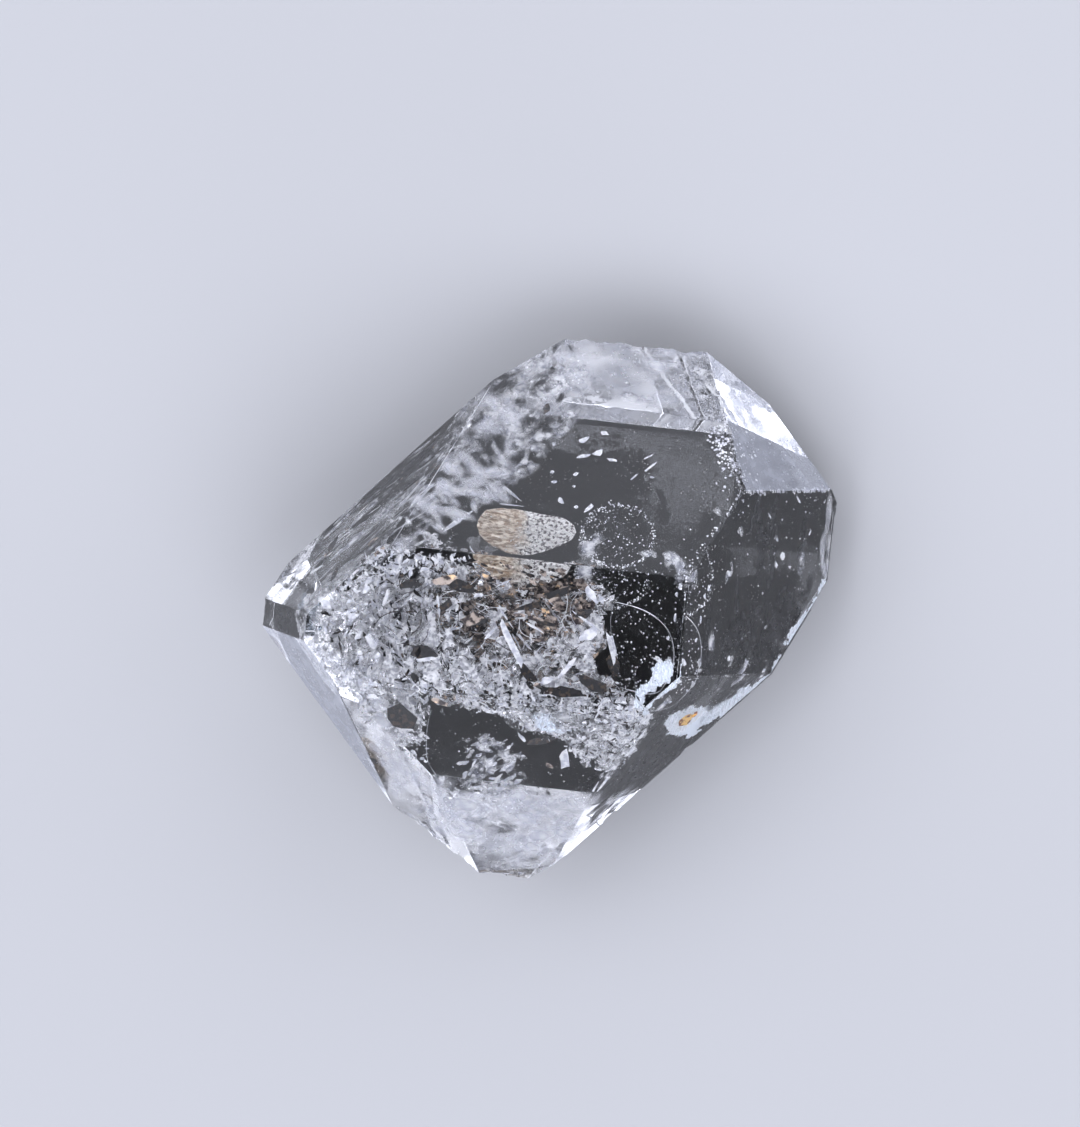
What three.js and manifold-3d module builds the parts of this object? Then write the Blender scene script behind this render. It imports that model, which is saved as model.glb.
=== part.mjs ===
// Herkimer diamond: one clear, doubly terminated quartz crystal, lying on its broadest prism face.
//
// Millimetres, +Z up. The crystal's long symmetry axis (c) runs along +Y. Looking down from above,
// +X is to the right and the far termination points to +Y. The origin is the centre of the
// crystal's bounding box, on the surface that it rests on.
//
// Quartz grows with fixed angles between its faces, so the whole shape follows from how far each
// face lies from the crystal's centre. Thin growth ledges stand on some faces, and small shell
// shaped chips are missing along the edges.

import * as THREE from "three";
import { mergeVertices } from "three/addons/utils/BufferGeometryUtils.js";
import Module from "manifold-3d";

// --- Driving dimensions ---------------------------------------------------------------------

// The six prism faces stand around the c axis at 60 degrees to each other, and each end has one
// rhombohedral face over each of them.
const SIDES = ["top", "upperRight", "lowerRight", "base", "lowerLeft", "upperLeft"];
const SIDE_TURN = 60; // degrees about c from one prism face to the next
const END_LEAN = 38.2; // degrees between a prism face's normal and that of the end face over it

// Distance from the crystal's centre to each face.
const REACH = {
  prism: { top: 5.8, upperRight: 7.35, lowerRight: 8.9, base: 3.4, lowerLeft: 7.35, upperLeft: 9.65 },
  far: { top: 5.75, upperRight: 8.8, lowerRight: 9.8, base: 5.75, lowerLeft: 6.05, upperLeft: 7.1 },
  near: { top: 6.4, upperRight: 6.75, lowerRight: 5.95, base: 5.65, lowerLeft: 6.9, upperLeft: 8.65 },
};

// Growth ledges: each stands `rise` proud of its face. It keeps back from the neighbours named in
// `inset` by that distance, and from the others by LEDGE_SETBACK, so little that there it ends at
// the edge. Where the inset is below zero, the ledge bends round the edge and covers that
// neighbour as well.
const LEDGE_SETBACK = 0.008;
const LEDGES = [
  { face: ["far", "upperRight"], rise: 0.05,
    inset: { "prism upperRight": -0.06, "prism lowerRight": 0.5, "far base": 1.5, "far lowerRight": 0.75 } },
  { face: ["far", "lowerRight"], rise: 0.08, inset: { "far upperRight": 0.6, "far base": 0.9 } },
  { face: ["near", "lowerRight"], rise: 0.08, inset: { "near base": 1.0, "prism lowerRight": 0.7 } },
  { face: ["prism", "lowerRight"], rise: 0.06, inset: { "near lowerRight": 1.4 } },
  { face: ["near", "lowerLeft"], rise: 0.1, inset: { "near base": 0.8, "near upperLeft": 1.1 } },
  { face: ["far", "lowerLeft"], rise: 0.08, inset: { "far upperLeft": 2.0, "far base": 1.4 } },
];

// Chips: a run of shell-shaped bites along the edge from one corner to another. `size` is the
// radius of the smallest and the largest bite, and `bite` how deep they cut into the edge.
const CHIP_RUNS = [
  // The crest of the far end.
  { count: 11, size: [0.22, 0.55], bite: [0.05, 0.13], span: [0.04, 0.96],
    from: ["far top", "far base", "far lowerLeft"], to: ["far top", "far base", "far upperRight"] },
  // The crest's right end.
  { count: 4, size: [0.2, 0.5], bite: [0.02, 0.05], span: [0.1, 0.9],
    from: ["far base", "far upperRight", "far top"],
    to: ["far base", "far upperRight", "far lowerRight"] },
  // The ridge down to the right shoulder.
  { count: 9, size: [0.14, 0.4], bite: [0.04, 0.11], span: [0.5, 0.98],
    from: ["far top", "far upperRight", "far base"],
    to: ["far top", "far upperRight", "prism upperRight"] },
  // A row of small bites below the shoulder.
  { count: 7, size: [0.1, 0.24], bite: [0.02, 0.06], span: [0.05, 0.9],
    from: ["far top", "prism upperRight", "far upperRight"],
    to: ["far top", "prism upperRight", "prism top"] },
  // The left rim of the near end.
  { count: 7, size: [0.3, 0.7], bite: [0.04, 0.12], span: [0.08, 0.92],
    from: ["near top", "near lowerLeft", "near upperLeft"],
    to: ["near top", "near lowerLeft", "near base"] },
  // The near tip.
  { count: 3, size: [0.3, 0.6], bite: [0.06, 0.14], span: [0.15, 0.85],
    from: ["near top", "near base", "near lowerLeft"],
    to: ["near top", "near base", "near lowerRight"] },
  // The right rim of the near end.
  { count: 4, size: [0.2, 0.5], bite: [0.03, 0.08], span: [0.1, 0.85],
    from: ["near upperRight", "near lowerRight", "near top"],
    to: ["near upperRight", "near lowerRight", "prism upperRight"] },
  // The point on the left.
  { count: 4, size: [0.15, 0.35], bite: [0.03, 0.08], span: [0.1, 0.9],
    from: ["prism upperLeft", "prism lowerLeft", "far upperLeft"],
    to: ["prism upperLeft", "prism lowerLeft", "near upperLeft"] },
];
const CHIP_SEED = 7; // start of the run of random numbers that scatters the chips
const CHIP_STRETCH = 1.5; // how much longer than wide a chip may be
const SCOOP_DETAIL = 2; // subdivisions of the ball that scoops a chip

const QUARTZ = {
  name: "clear_quartz",
  color: 0xeef1f5,
  roughness: 0.03,
  metalness: 0,
  flatShading: true,
};

// --- Faces and corners ----------------------------------------------------------------------

const rad = THREE.MathUtils.degToRad;
const BLOCK = 60; // side of the blocks that cut the faces, well over the crystal's size

function faceNormal(end, side) {
  const turn = rad(SIDE_TURN * SIDES.indexOf(side));
  const lean = { prism: 0, far: rad(END_LEAN), near: -rad(END_LEAN) }[end];
  return new THREE.Vector3(
    Math.sin(turn) * Math.cos(lean),
    Math.sin(lean),
    Math.cos(turn) * Math.cos(lean),
  );
}

// Every face as { normal, reach }, by its name, such as "far top".
function crystalFaces() {
  const faces = {};
  for (const [end, reaches] of Object.entries(REACH)) {
    for (const [side, reach] of Object.entries(reaches)) {
      faces[`${end} ${side}`] = { normal: faceNormal(end, side), reach };
    }
  }
  return faces;
}

// The point where three faces meet.
function corner(faces, names) {
  const [a, b, c] = names.map((name) => faces[name]);
  const bc = new THREE.Vector3().crossVectors(b.normal, c.normal);
  const ca = new THREE.Vector3().crossVectors(c.normal, a.normal);
  const ab = new THREE.Vector3().crossVectors(a.normal, b.normal);
  const point = bc.clone().multiplyScalar(a.reach);
  point.addScaledVector(ca, b.reach).addScaledVector(ab, c.reach);
  return point.divideScalar(a.normal.dot(bc));
}

// --- Solids ---------------------------------------------------------------------------------

const wasm = await Module();
wasm.setup();

function solidFrom(geometry) {
  const bare = geometry.clone();
  bare.deleteAttribute("normal");
  bare.deleteAttribute("uv");
  const welded = mergeVertices(bare);
  return new wasm.Manifold(new wasm.Mesh({
    numProp: 3,
    vertProperties: new Float32Array(welded.attributes.position.array),
    triVerts: new Uint32Array(welded.index.array),
  }));
}

// Each triangle keeps its own corners, so that the crystal's faces stay flat under any light.
function geometryFrom(solid) {
  const mesh = solid.getMesh();
  const welded = new THREE.BufferGeometry();
  welded.setAttribute("position", new THREE.BufferAttribute(mesh.vertProperties, 3));
  welded.setIndex(new THREE.BufferAttribute(mesh.triVerts, 1));
  const flat = welded.toNonIndexed();
  flat.computeVertexNormals();
  return flat;
}

// A convex crystal: a block from which everything outside each face is cut away.
function growCrystal(faces) {
  let solid = solidFrom(new THREE.BoxGeometry(BLOCK, BLOCK, BLOCK));
  const zAxis = new THREE.Vector3(0, 0, 1);
  for (const { normal, reach } of Object.values(faces)) {
    const waste = new THREE.BoxGeometry(2 * BLOCK, 2 * BLOCK, BLOCK);
    waste.translate(0, 0, BLOCK / 2 + reach);
    waste.applyQuaternion(new THREE.Quaternion().setFromUnitVectors(zAxis, normal));
    solid = solid.subtract(solidFrom(waste));
  }
  return solid;
}

// The same crystal with one face a little further out and some neighbours further in: joined to
// the crystal, only a thin plate on that face shows.
function growLedge(faces, { face, rise, inset }) {
  const ledgeFaces = {};
  for (const [name, { normal, reach }] of Object.entries(faces)) {
    ledgeFaces[name] = { normal, reach: reach - (inset[name] ?? LEDGE_SETBACK) };
  }
  const own = face.join(" ");
  ledgeFaces[own].reach = faces[own].reach + rise;
  return growCrystal(ledgeFaces);
}

// --- Chips ----------------------------------------------------------------------------------

const between = ([low, high], share) => THREE.MathUtils.lerp(low, high, share);
const random = () => THREE.MathUtils.seededRandom();

// One bite: a squashed ball, tangent to the edge, sunk until it cuts `bite` deep into it.
function chipScoop(point, outward, along, radius, bite) {
  const ball = new THREE.IcosahedronGeometry(radius, SCOOP_DETAIL);
  ball.rotateX(random() * Math.PI);
  ball.rotateY(random() * Math.PI);
  ball.scale(between([1, CHIP_STRETCH], random()), 1, 1);
  const across = new THREE.Vector3().crossVectors(outward, along);
  ball.applyMatrix4(new THREE.Matrix4().makeBasis(along, across, outward));
  const centre = point.clone().addScaledVector(outward, radius - bite);
  ball.translate(centre.x, centre.y, centre.z);
  return solidFrom(ball);
}

function chipEdge(solid, faces, run) {
  const start = corner(faces, run.from);
  const end = corner(faces, run.to);
  const along = end.clone().sub(start).normalize();
  const outward = faces[run.from[0]].normal.clone().add(faces[run.from[1]].normal).normalize();
  let chipped = solid;
  for (let i = 0; i < run.count; i += 1) {
    const share = between(run.span, (i + random()) / run.count);
    const grade = random() ** 2;
    const scoop = chipScoop(start.clone().lerp(end, share), outward, along,
      between(run.size, grade), between(run.bite, grade));
    chipped = chipped.subtract(scoop);
  }
  return chipped;
}

// --- The crystal ----------------------------------------------------------------------------

function makeCrystal() {
  const faces = crystalFaces();
  let solid = growCrystal(faces);
  for (const ledge of LEDGES) {
    solid = solid.add(growLedge(faces, ledge));
  }
  THREE.MathUtils.seededRandom(CHIP_SEED);
  for (const run of CHIP_RUNS) {
    solid = chipEdge(solid, faces, run);
  }
  const mesh = new THREE.Mesh(geometryFrom(solid), new THREE.MeshStandardMaterial(QUARTZ));
  mesh.name = "crystal";
  return mesh;
}

const crystal = makeCrystal();
crystal.geometry.computeBoundingBox();
const box = crystal.geometry.boundingBox;
crystal.position.set(-(box.min.x + box.max.x) / 2, -(box.min.y + box.max.y) / 2, -box.min.z);

const herkimerDiamond = new THREE.Group();
herkimerDiamond.name = "herkimer_diamond";
herkimerDiamond.add(crystal);

export default herkimerDiamond;
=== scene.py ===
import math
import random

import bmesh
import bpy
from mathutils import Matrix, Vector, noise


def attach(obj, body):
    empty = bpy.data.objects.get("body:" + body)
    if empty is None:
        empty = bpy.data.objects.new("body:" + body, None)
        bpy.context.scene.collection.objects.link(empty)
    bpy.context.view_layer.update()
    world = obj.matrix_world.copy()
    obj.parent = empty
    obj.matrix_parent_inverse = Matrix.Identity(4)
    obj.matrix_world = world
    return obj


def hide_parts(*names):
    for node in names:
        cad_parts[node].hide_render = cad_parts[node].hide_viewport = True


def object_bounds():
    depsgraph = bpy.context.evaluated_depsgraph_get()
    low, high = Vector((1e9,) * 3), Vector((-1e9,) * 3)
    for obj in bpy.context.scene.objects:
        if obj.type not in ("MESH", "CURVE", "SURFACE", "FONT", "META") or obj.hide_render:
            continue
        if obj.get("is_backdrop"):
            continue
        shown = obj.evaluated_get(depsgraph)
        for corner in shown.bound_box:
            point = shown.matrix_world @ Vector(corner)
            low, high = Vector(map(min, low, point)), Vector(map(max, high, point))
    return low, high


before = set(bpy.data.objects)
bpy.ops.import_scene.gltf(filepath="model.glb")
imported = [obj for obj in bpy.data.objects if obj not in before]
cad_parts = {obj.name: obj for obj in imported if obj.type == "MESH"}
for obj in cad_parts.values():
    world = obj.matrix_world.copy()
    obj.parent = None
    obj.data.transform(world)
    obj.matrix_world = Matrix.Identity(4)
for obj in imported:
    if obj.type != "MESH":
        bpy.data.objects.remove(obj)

# %% [markdown]
# # A herkimer diamond
#
# A herkimer diamond isn't a diamond. It is a short, bright crystal of clear quartz with a point at
# both ends, which grew loose in a pocket of rock and sealed drops of brine, flecks of carbon and
# its own healed cracks inside. This lesson builds one that lies on its broadest face. Everything
# that belongs to the crystal is made in millimetres about the crystal's own centre, because the
# numbers stay readable that way, and one step at the end of each piece takes it to its place in
# metres.

MM = 0.001
cad_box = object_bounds()
print("CAD box in mm:", [[round(v / MM, 2) for v in side] for side in cad_box])

# %% [markdown]
# ## The faces of the crystal
#
# Quartz always grows with the same angles between its faces: six prism faces at 60 degrees round
# the long axis, and over each of them a sloping face at either end, leaning in by 38.2 degrees.
# The only freedom is how far each face lies from the centre. So instead of drawing the shape by
# its corners, we list those distances and let the corners follow.

# %% Face directions and distances
SIDES = ["top", "upper_right", "lower_right", "base", "lower_left", "upper_left"]
SIDE_TURN = math.radians(60)
END_LEAN = {"prism": 0.0, "far": math.radians(38.2), "near": -math.radians(38.2)}
REACH = {
    "prism": dict(top=5.8, upper_right=7.35, lower_right=8.9, base=3.4, lower_left=7.35, upper_left=9.65),
    "far": dict(top=5.75, upper_right=8.8, lower_right=9.8, base=5.75, lower_left=6.05, upper_left=7.1),
    "near": dict(top=6.4, upper_right=6.75, lower_right=5.95, base=5.65, lower_left=6.9, upper_left=8.65),
}


def face_normal(end, side):
    turn = SIDE_TURN * SIDES.index(side)
    lean = END_LEAN[end]
    return Vector((math.sin(turn) * math.cos(lean), math.sin(lean), math.cos(turn) * math.cos(lean)))


faces = {
    (end, side): (face_normal(end, side), reach)
    for end, reaches in REACH.items()
    for side, reach in reaches.items()
}


def corner(*names):
    """The point where three faces meet."""
    rows = Matrix([faces[name][0] for name in names])
    return rows.inverted() @ Vector([faces[name][1] for name in names])


TOP, RIGHT, LOW_RIGHT, BASE, LOW_LEFT, LEFT = [("prism", side) for side in SIDES]
FAR_TOP, FAR_RIGHT, FAR_LOW_RIGHT, FAR_BASE, FAR_LEFT, FAR_HIGH_LEFT = [("far", side) for side in SIDES]
(
    NEAR_TOP, NEAR_RIGHT, NEAR_LOW_RIGHT, NEAR_BASE, NEAR_LEFT, NEAR_HIGH_LEFT,
) = [("near", side) for side in SIDES]
print("far tip:", corner(FAR_TOP, FAR_BASE, FAR_LEFT).to_tuple(2))

# %% [markdown]
# ## Growing the solid
#
# A crystal's shape is what is left of a big block when everything outside each face is cut away.
# `bisect_plane` makes each cut, and one new flat face closes it. Real edges are never quite
# sharp, so a very narrow bevel rounds them and gives the light a line to catch.

# %% Cut a block by the faces
BLOCK = 60.0
EDGE_ROUND = 0.02


def grown(face_list, edge_round):
    """A closed convex crystal as a bmesh."""
    body = bmesh.new()
    bmesh.ops.create_cube(body, size=BLOCK)
    for normal, reach in face_list.values():
        geometry = body.verts[:] + body.edges[:] + body.faces[:]
        cut = bmesh.ops.bisect_plane(
            body, geom=geometry, dist=1e-6, plane_co=normal * reach, plane_no=normal, clear_outer=True
        )
        rim = [part for part in cut["geom_cut"] if isinstance(part, bmesh.types.BMEdge)]
        if rim:
            bmesh.ops.contextual_create(body, geom=rim)
    bmesh.ops.bevel(
        body, geom=body.edges[:], offset=edge_round, segments=2, profile=0.5,
        affect="EDGES", clamp_overlap=True,
    )
    bmesh.ops.recalc_face_normals(body, faces=body.faces[:])
    return body


def object_from(body, name):
    """Turns a bmesh into an object of the scene."""
    mesh = bpy.data.meshes.new(name)
    body.to_mesh(mesh)
    body.free()
    made = bpy.data.objects.new(name, mesh)
    bpy.context.scene.collection.objects.link(made)
    return made


crystal = object_from(grown(faces, EDGE_ROUND), "clear_crystal")
print("bare crystal:", len(crystal.data.polygons), "faces")

# %% [markdown]
# ## Growth ledges
#
# New quartz spreads over a face in thin sheets that stop short of the edge, so some faces carry
# a low plate with straight sides. A plate is the same crystal grown again with one face pushed
# out a little and its neighbours pulled in: joined to the first, only the plate shows. Blender's
# manifold solver joins closed meshes quickly and keeps them closed.

# %% Grow the ledges
LEDGE_SETBACK = 0.008
LEDGE_ROUND = 0.008
# Each ledge: its face, how far it stands proud, and how far it keeps back from its neighbours.
# Where that distance is below zero, the ledge bends round the edge.
LEDGES = [
    (FAR_RIGHT, 0.05, {RIGHT: -0.06, LOW_RIGHT: 0.5, FAR_BASE: 1.5, FAR_LOW_RIGHT: 0.75}),
    (FAR_LOW_RIGHT, 0.08, {FAR_RIGHT: 0.6, FAR_BASE: 0.9}),
    (NEAR_LOW_RIGHT, 0.08, {NEAR_BASE: 1.0, LOW_RIGHT: 0.7}),
    (LOW_RIGHT, 0.06, {NEAR_LOW_RIGHT: 1.4}),
    (NEAR_LEFT, 0.1, {NEAR_BASE: 0.8, NEAR_HIGH_LEFT: 1.1}),
    (FAR_LEFT, 0.08, {FAR_HIGH_LEFT: 2.0, FAR_BASE: 1.4}),
]


def boolean(target, cutter, operation):
    """Joins `cutter` to `target` or cuts it away, and removes the cutter."""
    step = target.modifiers.new("cut", "BOOLEAN")
    step.operation = operation
    step.solver = "MANIFOLD"
    step.object = cutter
    graph = bpy.context.evaluated_depsgraph_get()
    result = bpy.data.meshes.new_from_object(target.evaluated_get(graph))
    target.modifiers.clear()
    old = target.data
    target.data = result
    bpy.data.meshes.remove(old)
    bpy.data.objects.remove(cutter)


for own, rise, inset in LEDGES:
    plate = {}
    for name, (normal, reach) in faces.items():
        plate[name] = (normal, reach - inset.get(name, LEDGE_SETBACK))
    normal, reach = faces[own]
    plate[own] = (normal, reach + rise)
    boolean(crystal, object_from(grown(plate, LEDGE_ROUND), "ledge"), "UNION")
print("with ledges:", len(crystal.data.polygons), "faces")

# %% [markdown]
# ## Chips
#
# Quartz breaks in small shells. Each chip is scooped out of an edge by a stretched ball, and runs
# of them follow the edges that have met other stones. The solid model draws its chips with the
# same simple generator of random numbers, so the two sets fall in the same places.

# %% Scoop the chips
CHIP_SEED = 7
CHIP_STRETCH = 1.5
SCOOP_DETAIL = 4
# How many, the smallest and largest radius and depth, the part of the edge, and the edge's ends.
CHIP_RUNS = [
    (11, (0.22, 0.55), (0.05, 0.13), (0.04, 0.96),
     (FAR_TOP, FAR_BASE, FAR_LEFT), (FAR_TOP, FAR_BASE, FAR_RIGHT)),
    (4, (0.2, 0.5), (0.02, 0.05), (0.1, 0.9),
     (FAR_BASE, FAR_RIGHT, FAR_TOP), (FAR_BASE, FAR_RIGHT, FAR_LOW_RIGHT)),
    (9, (0.14, 0.4), (0.04, 0.11), (0.5, 0.98),
     (FAR_TOP, FAR_RIGHT, FAR_BASE), (FAR_TOP, FAR_RIGHT, RIGHT)),
    (7, (0.1, 0.24), (0.02, 0.06), (0.05, 0.9),
     (FAR_TOP, RIGHT, FAR_RIGHT), (FAR_TOP, RIGHT, TOP)),
    (7, (0.3, 0.7), (0.04, 0.12), (0.08, 0.92),
     (NEAR_TOP, NEAR_LEFT, NEAR_HIGH_LEFT), (NEAR_TOP, NEAR_LEFT, NEAR_BASE)),
    (3, (0.3, 0.6), (0.06, 0.14), (0.15, 0.85),
     (NEAR_TOP, NEAR_BASE, NEAR_LEFT), (NEAR_TOP, NEAR_BASE, NEAR_LOW_RIGHT)),
    (4, (0.2, 0.5), (0.03, 0.08), (0.1, 0.85),
     (NEAR_RIGHT, NEAR_LOW_RIGHT, NEAR_TOP), (NEAR_RIGHT, NEAR_LOW_RIGHT, RIGHT)),
    (4, (0.15, 0.35), (0.03, 0.08), (0.1, 0.9),
     (LEFT, LOW_LEFT, FAR_HIGH_LEFT), (LEFT, LOW_LEFT, NEAR_HIGH_LEFT)),
]


class Shuffle:
    """The run of random numbers that the solid model's chips are drawn from, in 32-bit sums."""

    STRIDE = 0x6D2B79F5
    WORD = 2**32

    def __init__(self, seed):
        self.state = seed

    def __call__(self):
        self.state = (self.state + self.STRIDE) % self.WORD
        mixed = self.state
        mixed = (mixed ^ (mixed >> 15)) * (mixed | 1) % self.WORD
        mixed ^= (mixed + (mixed ^ (mixed >> 7)) * (mixed | 61)) % self.WORD
        return (mixed ^ (mixed >> 14)) / self.WORD


def between(ends, share):
    """The number at `share` of the way from one end to the other."""
    return ends[0] + (ends[1] - ends[0]) * share


def scoop(point, outward, along, radius, bite, chance):
    """A ball with fine rings of facets, sunk until it cuts `bite` deep into the edge."""
    ball = bmesh.new()
    bmesh.ops.create_icosphere(ball, subdivisions=SCOOP_DETAIL, radius=radius)
    turn = Matrix.Rotation(chance() * math.pi, 4, "X")
    turn = Matrix.Rotation(chance() * math.pi, 4, "Y") @ turn
    stretch = Matrix.Diagonal((between((1, CHIP_STRETCH), chance()), 1, 1, 1))
    basis = Matrix((along, outward.cross(along), outward)).transposed().to_4x4()
    place = Matrix.Translation(point + outward * (radius - bite)) @ basis @ stretch @ turn
    bmesh.ops.transform(ball, matrix=place, verts=ball.verts[:])
    return object_from(ball, "scoop")


chance = Shuffle(CHIP_SEED)
chance()  # The solid model doesn't use the first number either.
for count, sizes, bites, span, start_faces, end_faces in CHIP_RUNS:
    start, end = corner(*start_faces), corner(*end_faces)
    outward = (faces[start_faces[0]][0] + faces[start_faces[1]][0]).normalized()
    for i in range(count):
        share = between(span, (i + chance()) / count)
        grade = chance() ** 2
        cutter = scoop(
            start.lerp(end, share), outward, (end - start).normalized(),
            between(sizes, grade), between(bites, grade), chance,
        )
        boolean(crystal, cutter, "DIFFERENCE")
print("with", sum(run[0] for run in CHIP_RUNS), "chips:", len(crystal.data.polygons), "faces")

# %% [markdown]
# ## Into its place
#
# The origin of the finished part is the middle of its box, on the surface that it lies on. The
# crystal's own box says how far its centre lies from there, and every piece inside it is moved
# by the same amount.

# %% From millimetres to the part's own frame
xs = [vertex.co.x for vertex in crystal.data.vertices]
ys = [vertex.co.y for vertex in crystal.data.vertices]
centre = Vector((-(min(xs) + max(xs)) / 2, -(min(ys) + max(ys)) / 2, faces[BASE][1]))
to_place = Matrix.Scale(MM, 4) @ Matrix.Translation(centre)
print("crystal centre in mm:", centre.to_tuple(4))


def settle(piece, material):
    """Takes a piece to its place, and ties it to the solid that it dresses."""
    piece.data.transform(to_place)
    piece.data.materials.clear()
    piece.data.materials.append(material)
    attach(piece, "root")
    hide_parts("crystal")
    return piece


# %% [markdown]
# ## The camera
#
# A small stone is seen best from nearly overhead, through a long lens, which keeps its parallel
# edges parallel. Three directions at right angles make the camera's rotation: towards the camera,
# across the picture and up in it. The camera comes before the inclusions, because they are placed
# by its lines of sight.

# %% Camera
FRAME_WIDTH, FRAME_HEIGHT = 1080, 1127
CENTRE_SHOWS_AT = (553, 602)
CAMERA_AWAY = 250.9
LENS, SENSOR = 228.98, 36.0
TOWARD_CAMERA = (0.1078, 0.0983, 0.9893)
UP_IN_PICTURE = (-0.1130, 0.9899, -0.0861)

toward = Vector(TOWARD_CAMERA).normalized()
across = Vector(UP_IN_PICTURE).cross(toward).normalized()
upward = toward.cross(across)

camera_data = bpy.data.cameras.new("camera")
camera_data.lens = LENS
camera_data.sensor_width = SENSOR
camera_data.shift_x = (FRAME_WIDTH / 2 - CENTRE_SHOWS_AT[0]) / FRAME_HEIGHT
camera_data.shift_y = (CENTRE_SHOWS_AT[1] - FRAME_HEIGHT / 2) / FRAME_HEIGHT
camera_data.clip_start = 0.01
camera = bpy.data.objects.new("camera", camera_data)
bpy.context.scene.collection.objects.link(camera)
turn = Matrix((across, upward, toward)).transposed().to_4x4()
camera.matrix_world = Matrix.Translation((centre + toward * CAMERA_AWAY) * MM) @ turn
bpy.context.scene.camera = camera
print("camera height:", round(math.degrees(math.asin(toward.z)), 1), "degrees")

# %% [markdown]
# ## Lines of sight
#
# A ray from the camera through a point of the picture bends where it enters the crystal, by the
# law of refraction, and then runs straight. An inclusion put on the bent ray shows at that point
# of the picture, and all its images in the other faces follow by themselves.

# %% Lines of sight
QUARTZ_IOR = 1.545
eye = toward * CAMERA_AWAY
focal = LENS / SENSOR * FRAME_HEIGHT


def sight(x, y):
    """Where the ray through picture point (x, y) enters the crystal, and its bent direction."""
    ray = across * (x - CENTRE_SHOWS_AT[0]) + upward * (CENTRE_SHOWS_AT[1] - y) - toward * focal
    ray.normalize()
    entries = [
        ((reach - normal.dot(eye)) / normal.dot(ray), normal)
        for normal, reach in faces.values()
        if normal.dot(ray) < 0
    ]
    distance, normal = max(entries, key=lambda entry: entry[0])
    cosine = -normal.dot(ray)
    bent = math.sqrt(1 - (1 - cosine**2) / QUARTZ_IOR**2)
    return eye + ray * distance, ray / QUARTZ_IOR + normal * (cosine / QUARTZ_IOR - bent)


def at_depth(x, y, depth):
    """The point that shows at (x, y), `depth` mm along the bent ray."""
    entry, ray = sight(x, y)
    return entry + ray * depth


def on_plane(x, y, point, normal):
    """The point of a plane inside the crystal that shows at (x, y)."""
    entry, ray = sight(x, y)
    return entry + ray * ((point - entry).dot(normal) / ray.dot(normal))


def thickness(x, y):
    """How far the bent ray through (x, y) runs before it meets a face from inside."""
    entry, ray = sight(x, y)
    ahead = [(normal.dot(ray), reach - normal.dot(entry)) for normal, reach in faces.values()]
    return min(gap / slope for slope, gap in ahead if slope > 0.001)


TOP_FACE_MIDDLE = (526, 629)
print("crystal under the middle of the top face:", round(thickness(*TOP_FACE_MIDDLE), 2), "mm")

# %% [markdown]
# ## Shader maths as expressions
#
# A material is a tree of nodes. Typing `mask * 0.5 + 0.1` is easier to read than a chain of Math
# nodes, so a small class wraps a socket and lets Python's operators add those nodes. Another
# class stands for one tree, and adds any other node from its type, its settings and its sockets.

# %% Sockets and trees


class Wire:
    """A node's output that takes part in sums."""

    def __init__(self, nodes, socket):
        self.nodes = nodes
        self.socket = socket

    def math(self, operation, *values):
        return self.nodes.add("ShaderNodeMath", {"operation": operation}, dict(enumerate(values)))

    def __add__(self, other):
        return self.math("ADD", self, other)

    def __sub__(self, other):
        return self.math("SUBTRACT", self, other)

    def __rsub__(self, other):
        return self.math("SUBTRACT", other, self)

    def __mul__(self, other):
        return self.math("MULTIPLY", self, other)

    __radd__ = __add__
    __rmul__ = __mul__

    def above(self, low, high):
        """0 below `low`, 1 above `high`, and a smooth rise between."""
        ends = {"Value": self, "From Min": low, "From Max": high}
        return self.nodes.add("ShaderNodeMapRange", {"interpolation_type": "SMOOTHSTEP"}, ends)


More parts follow.
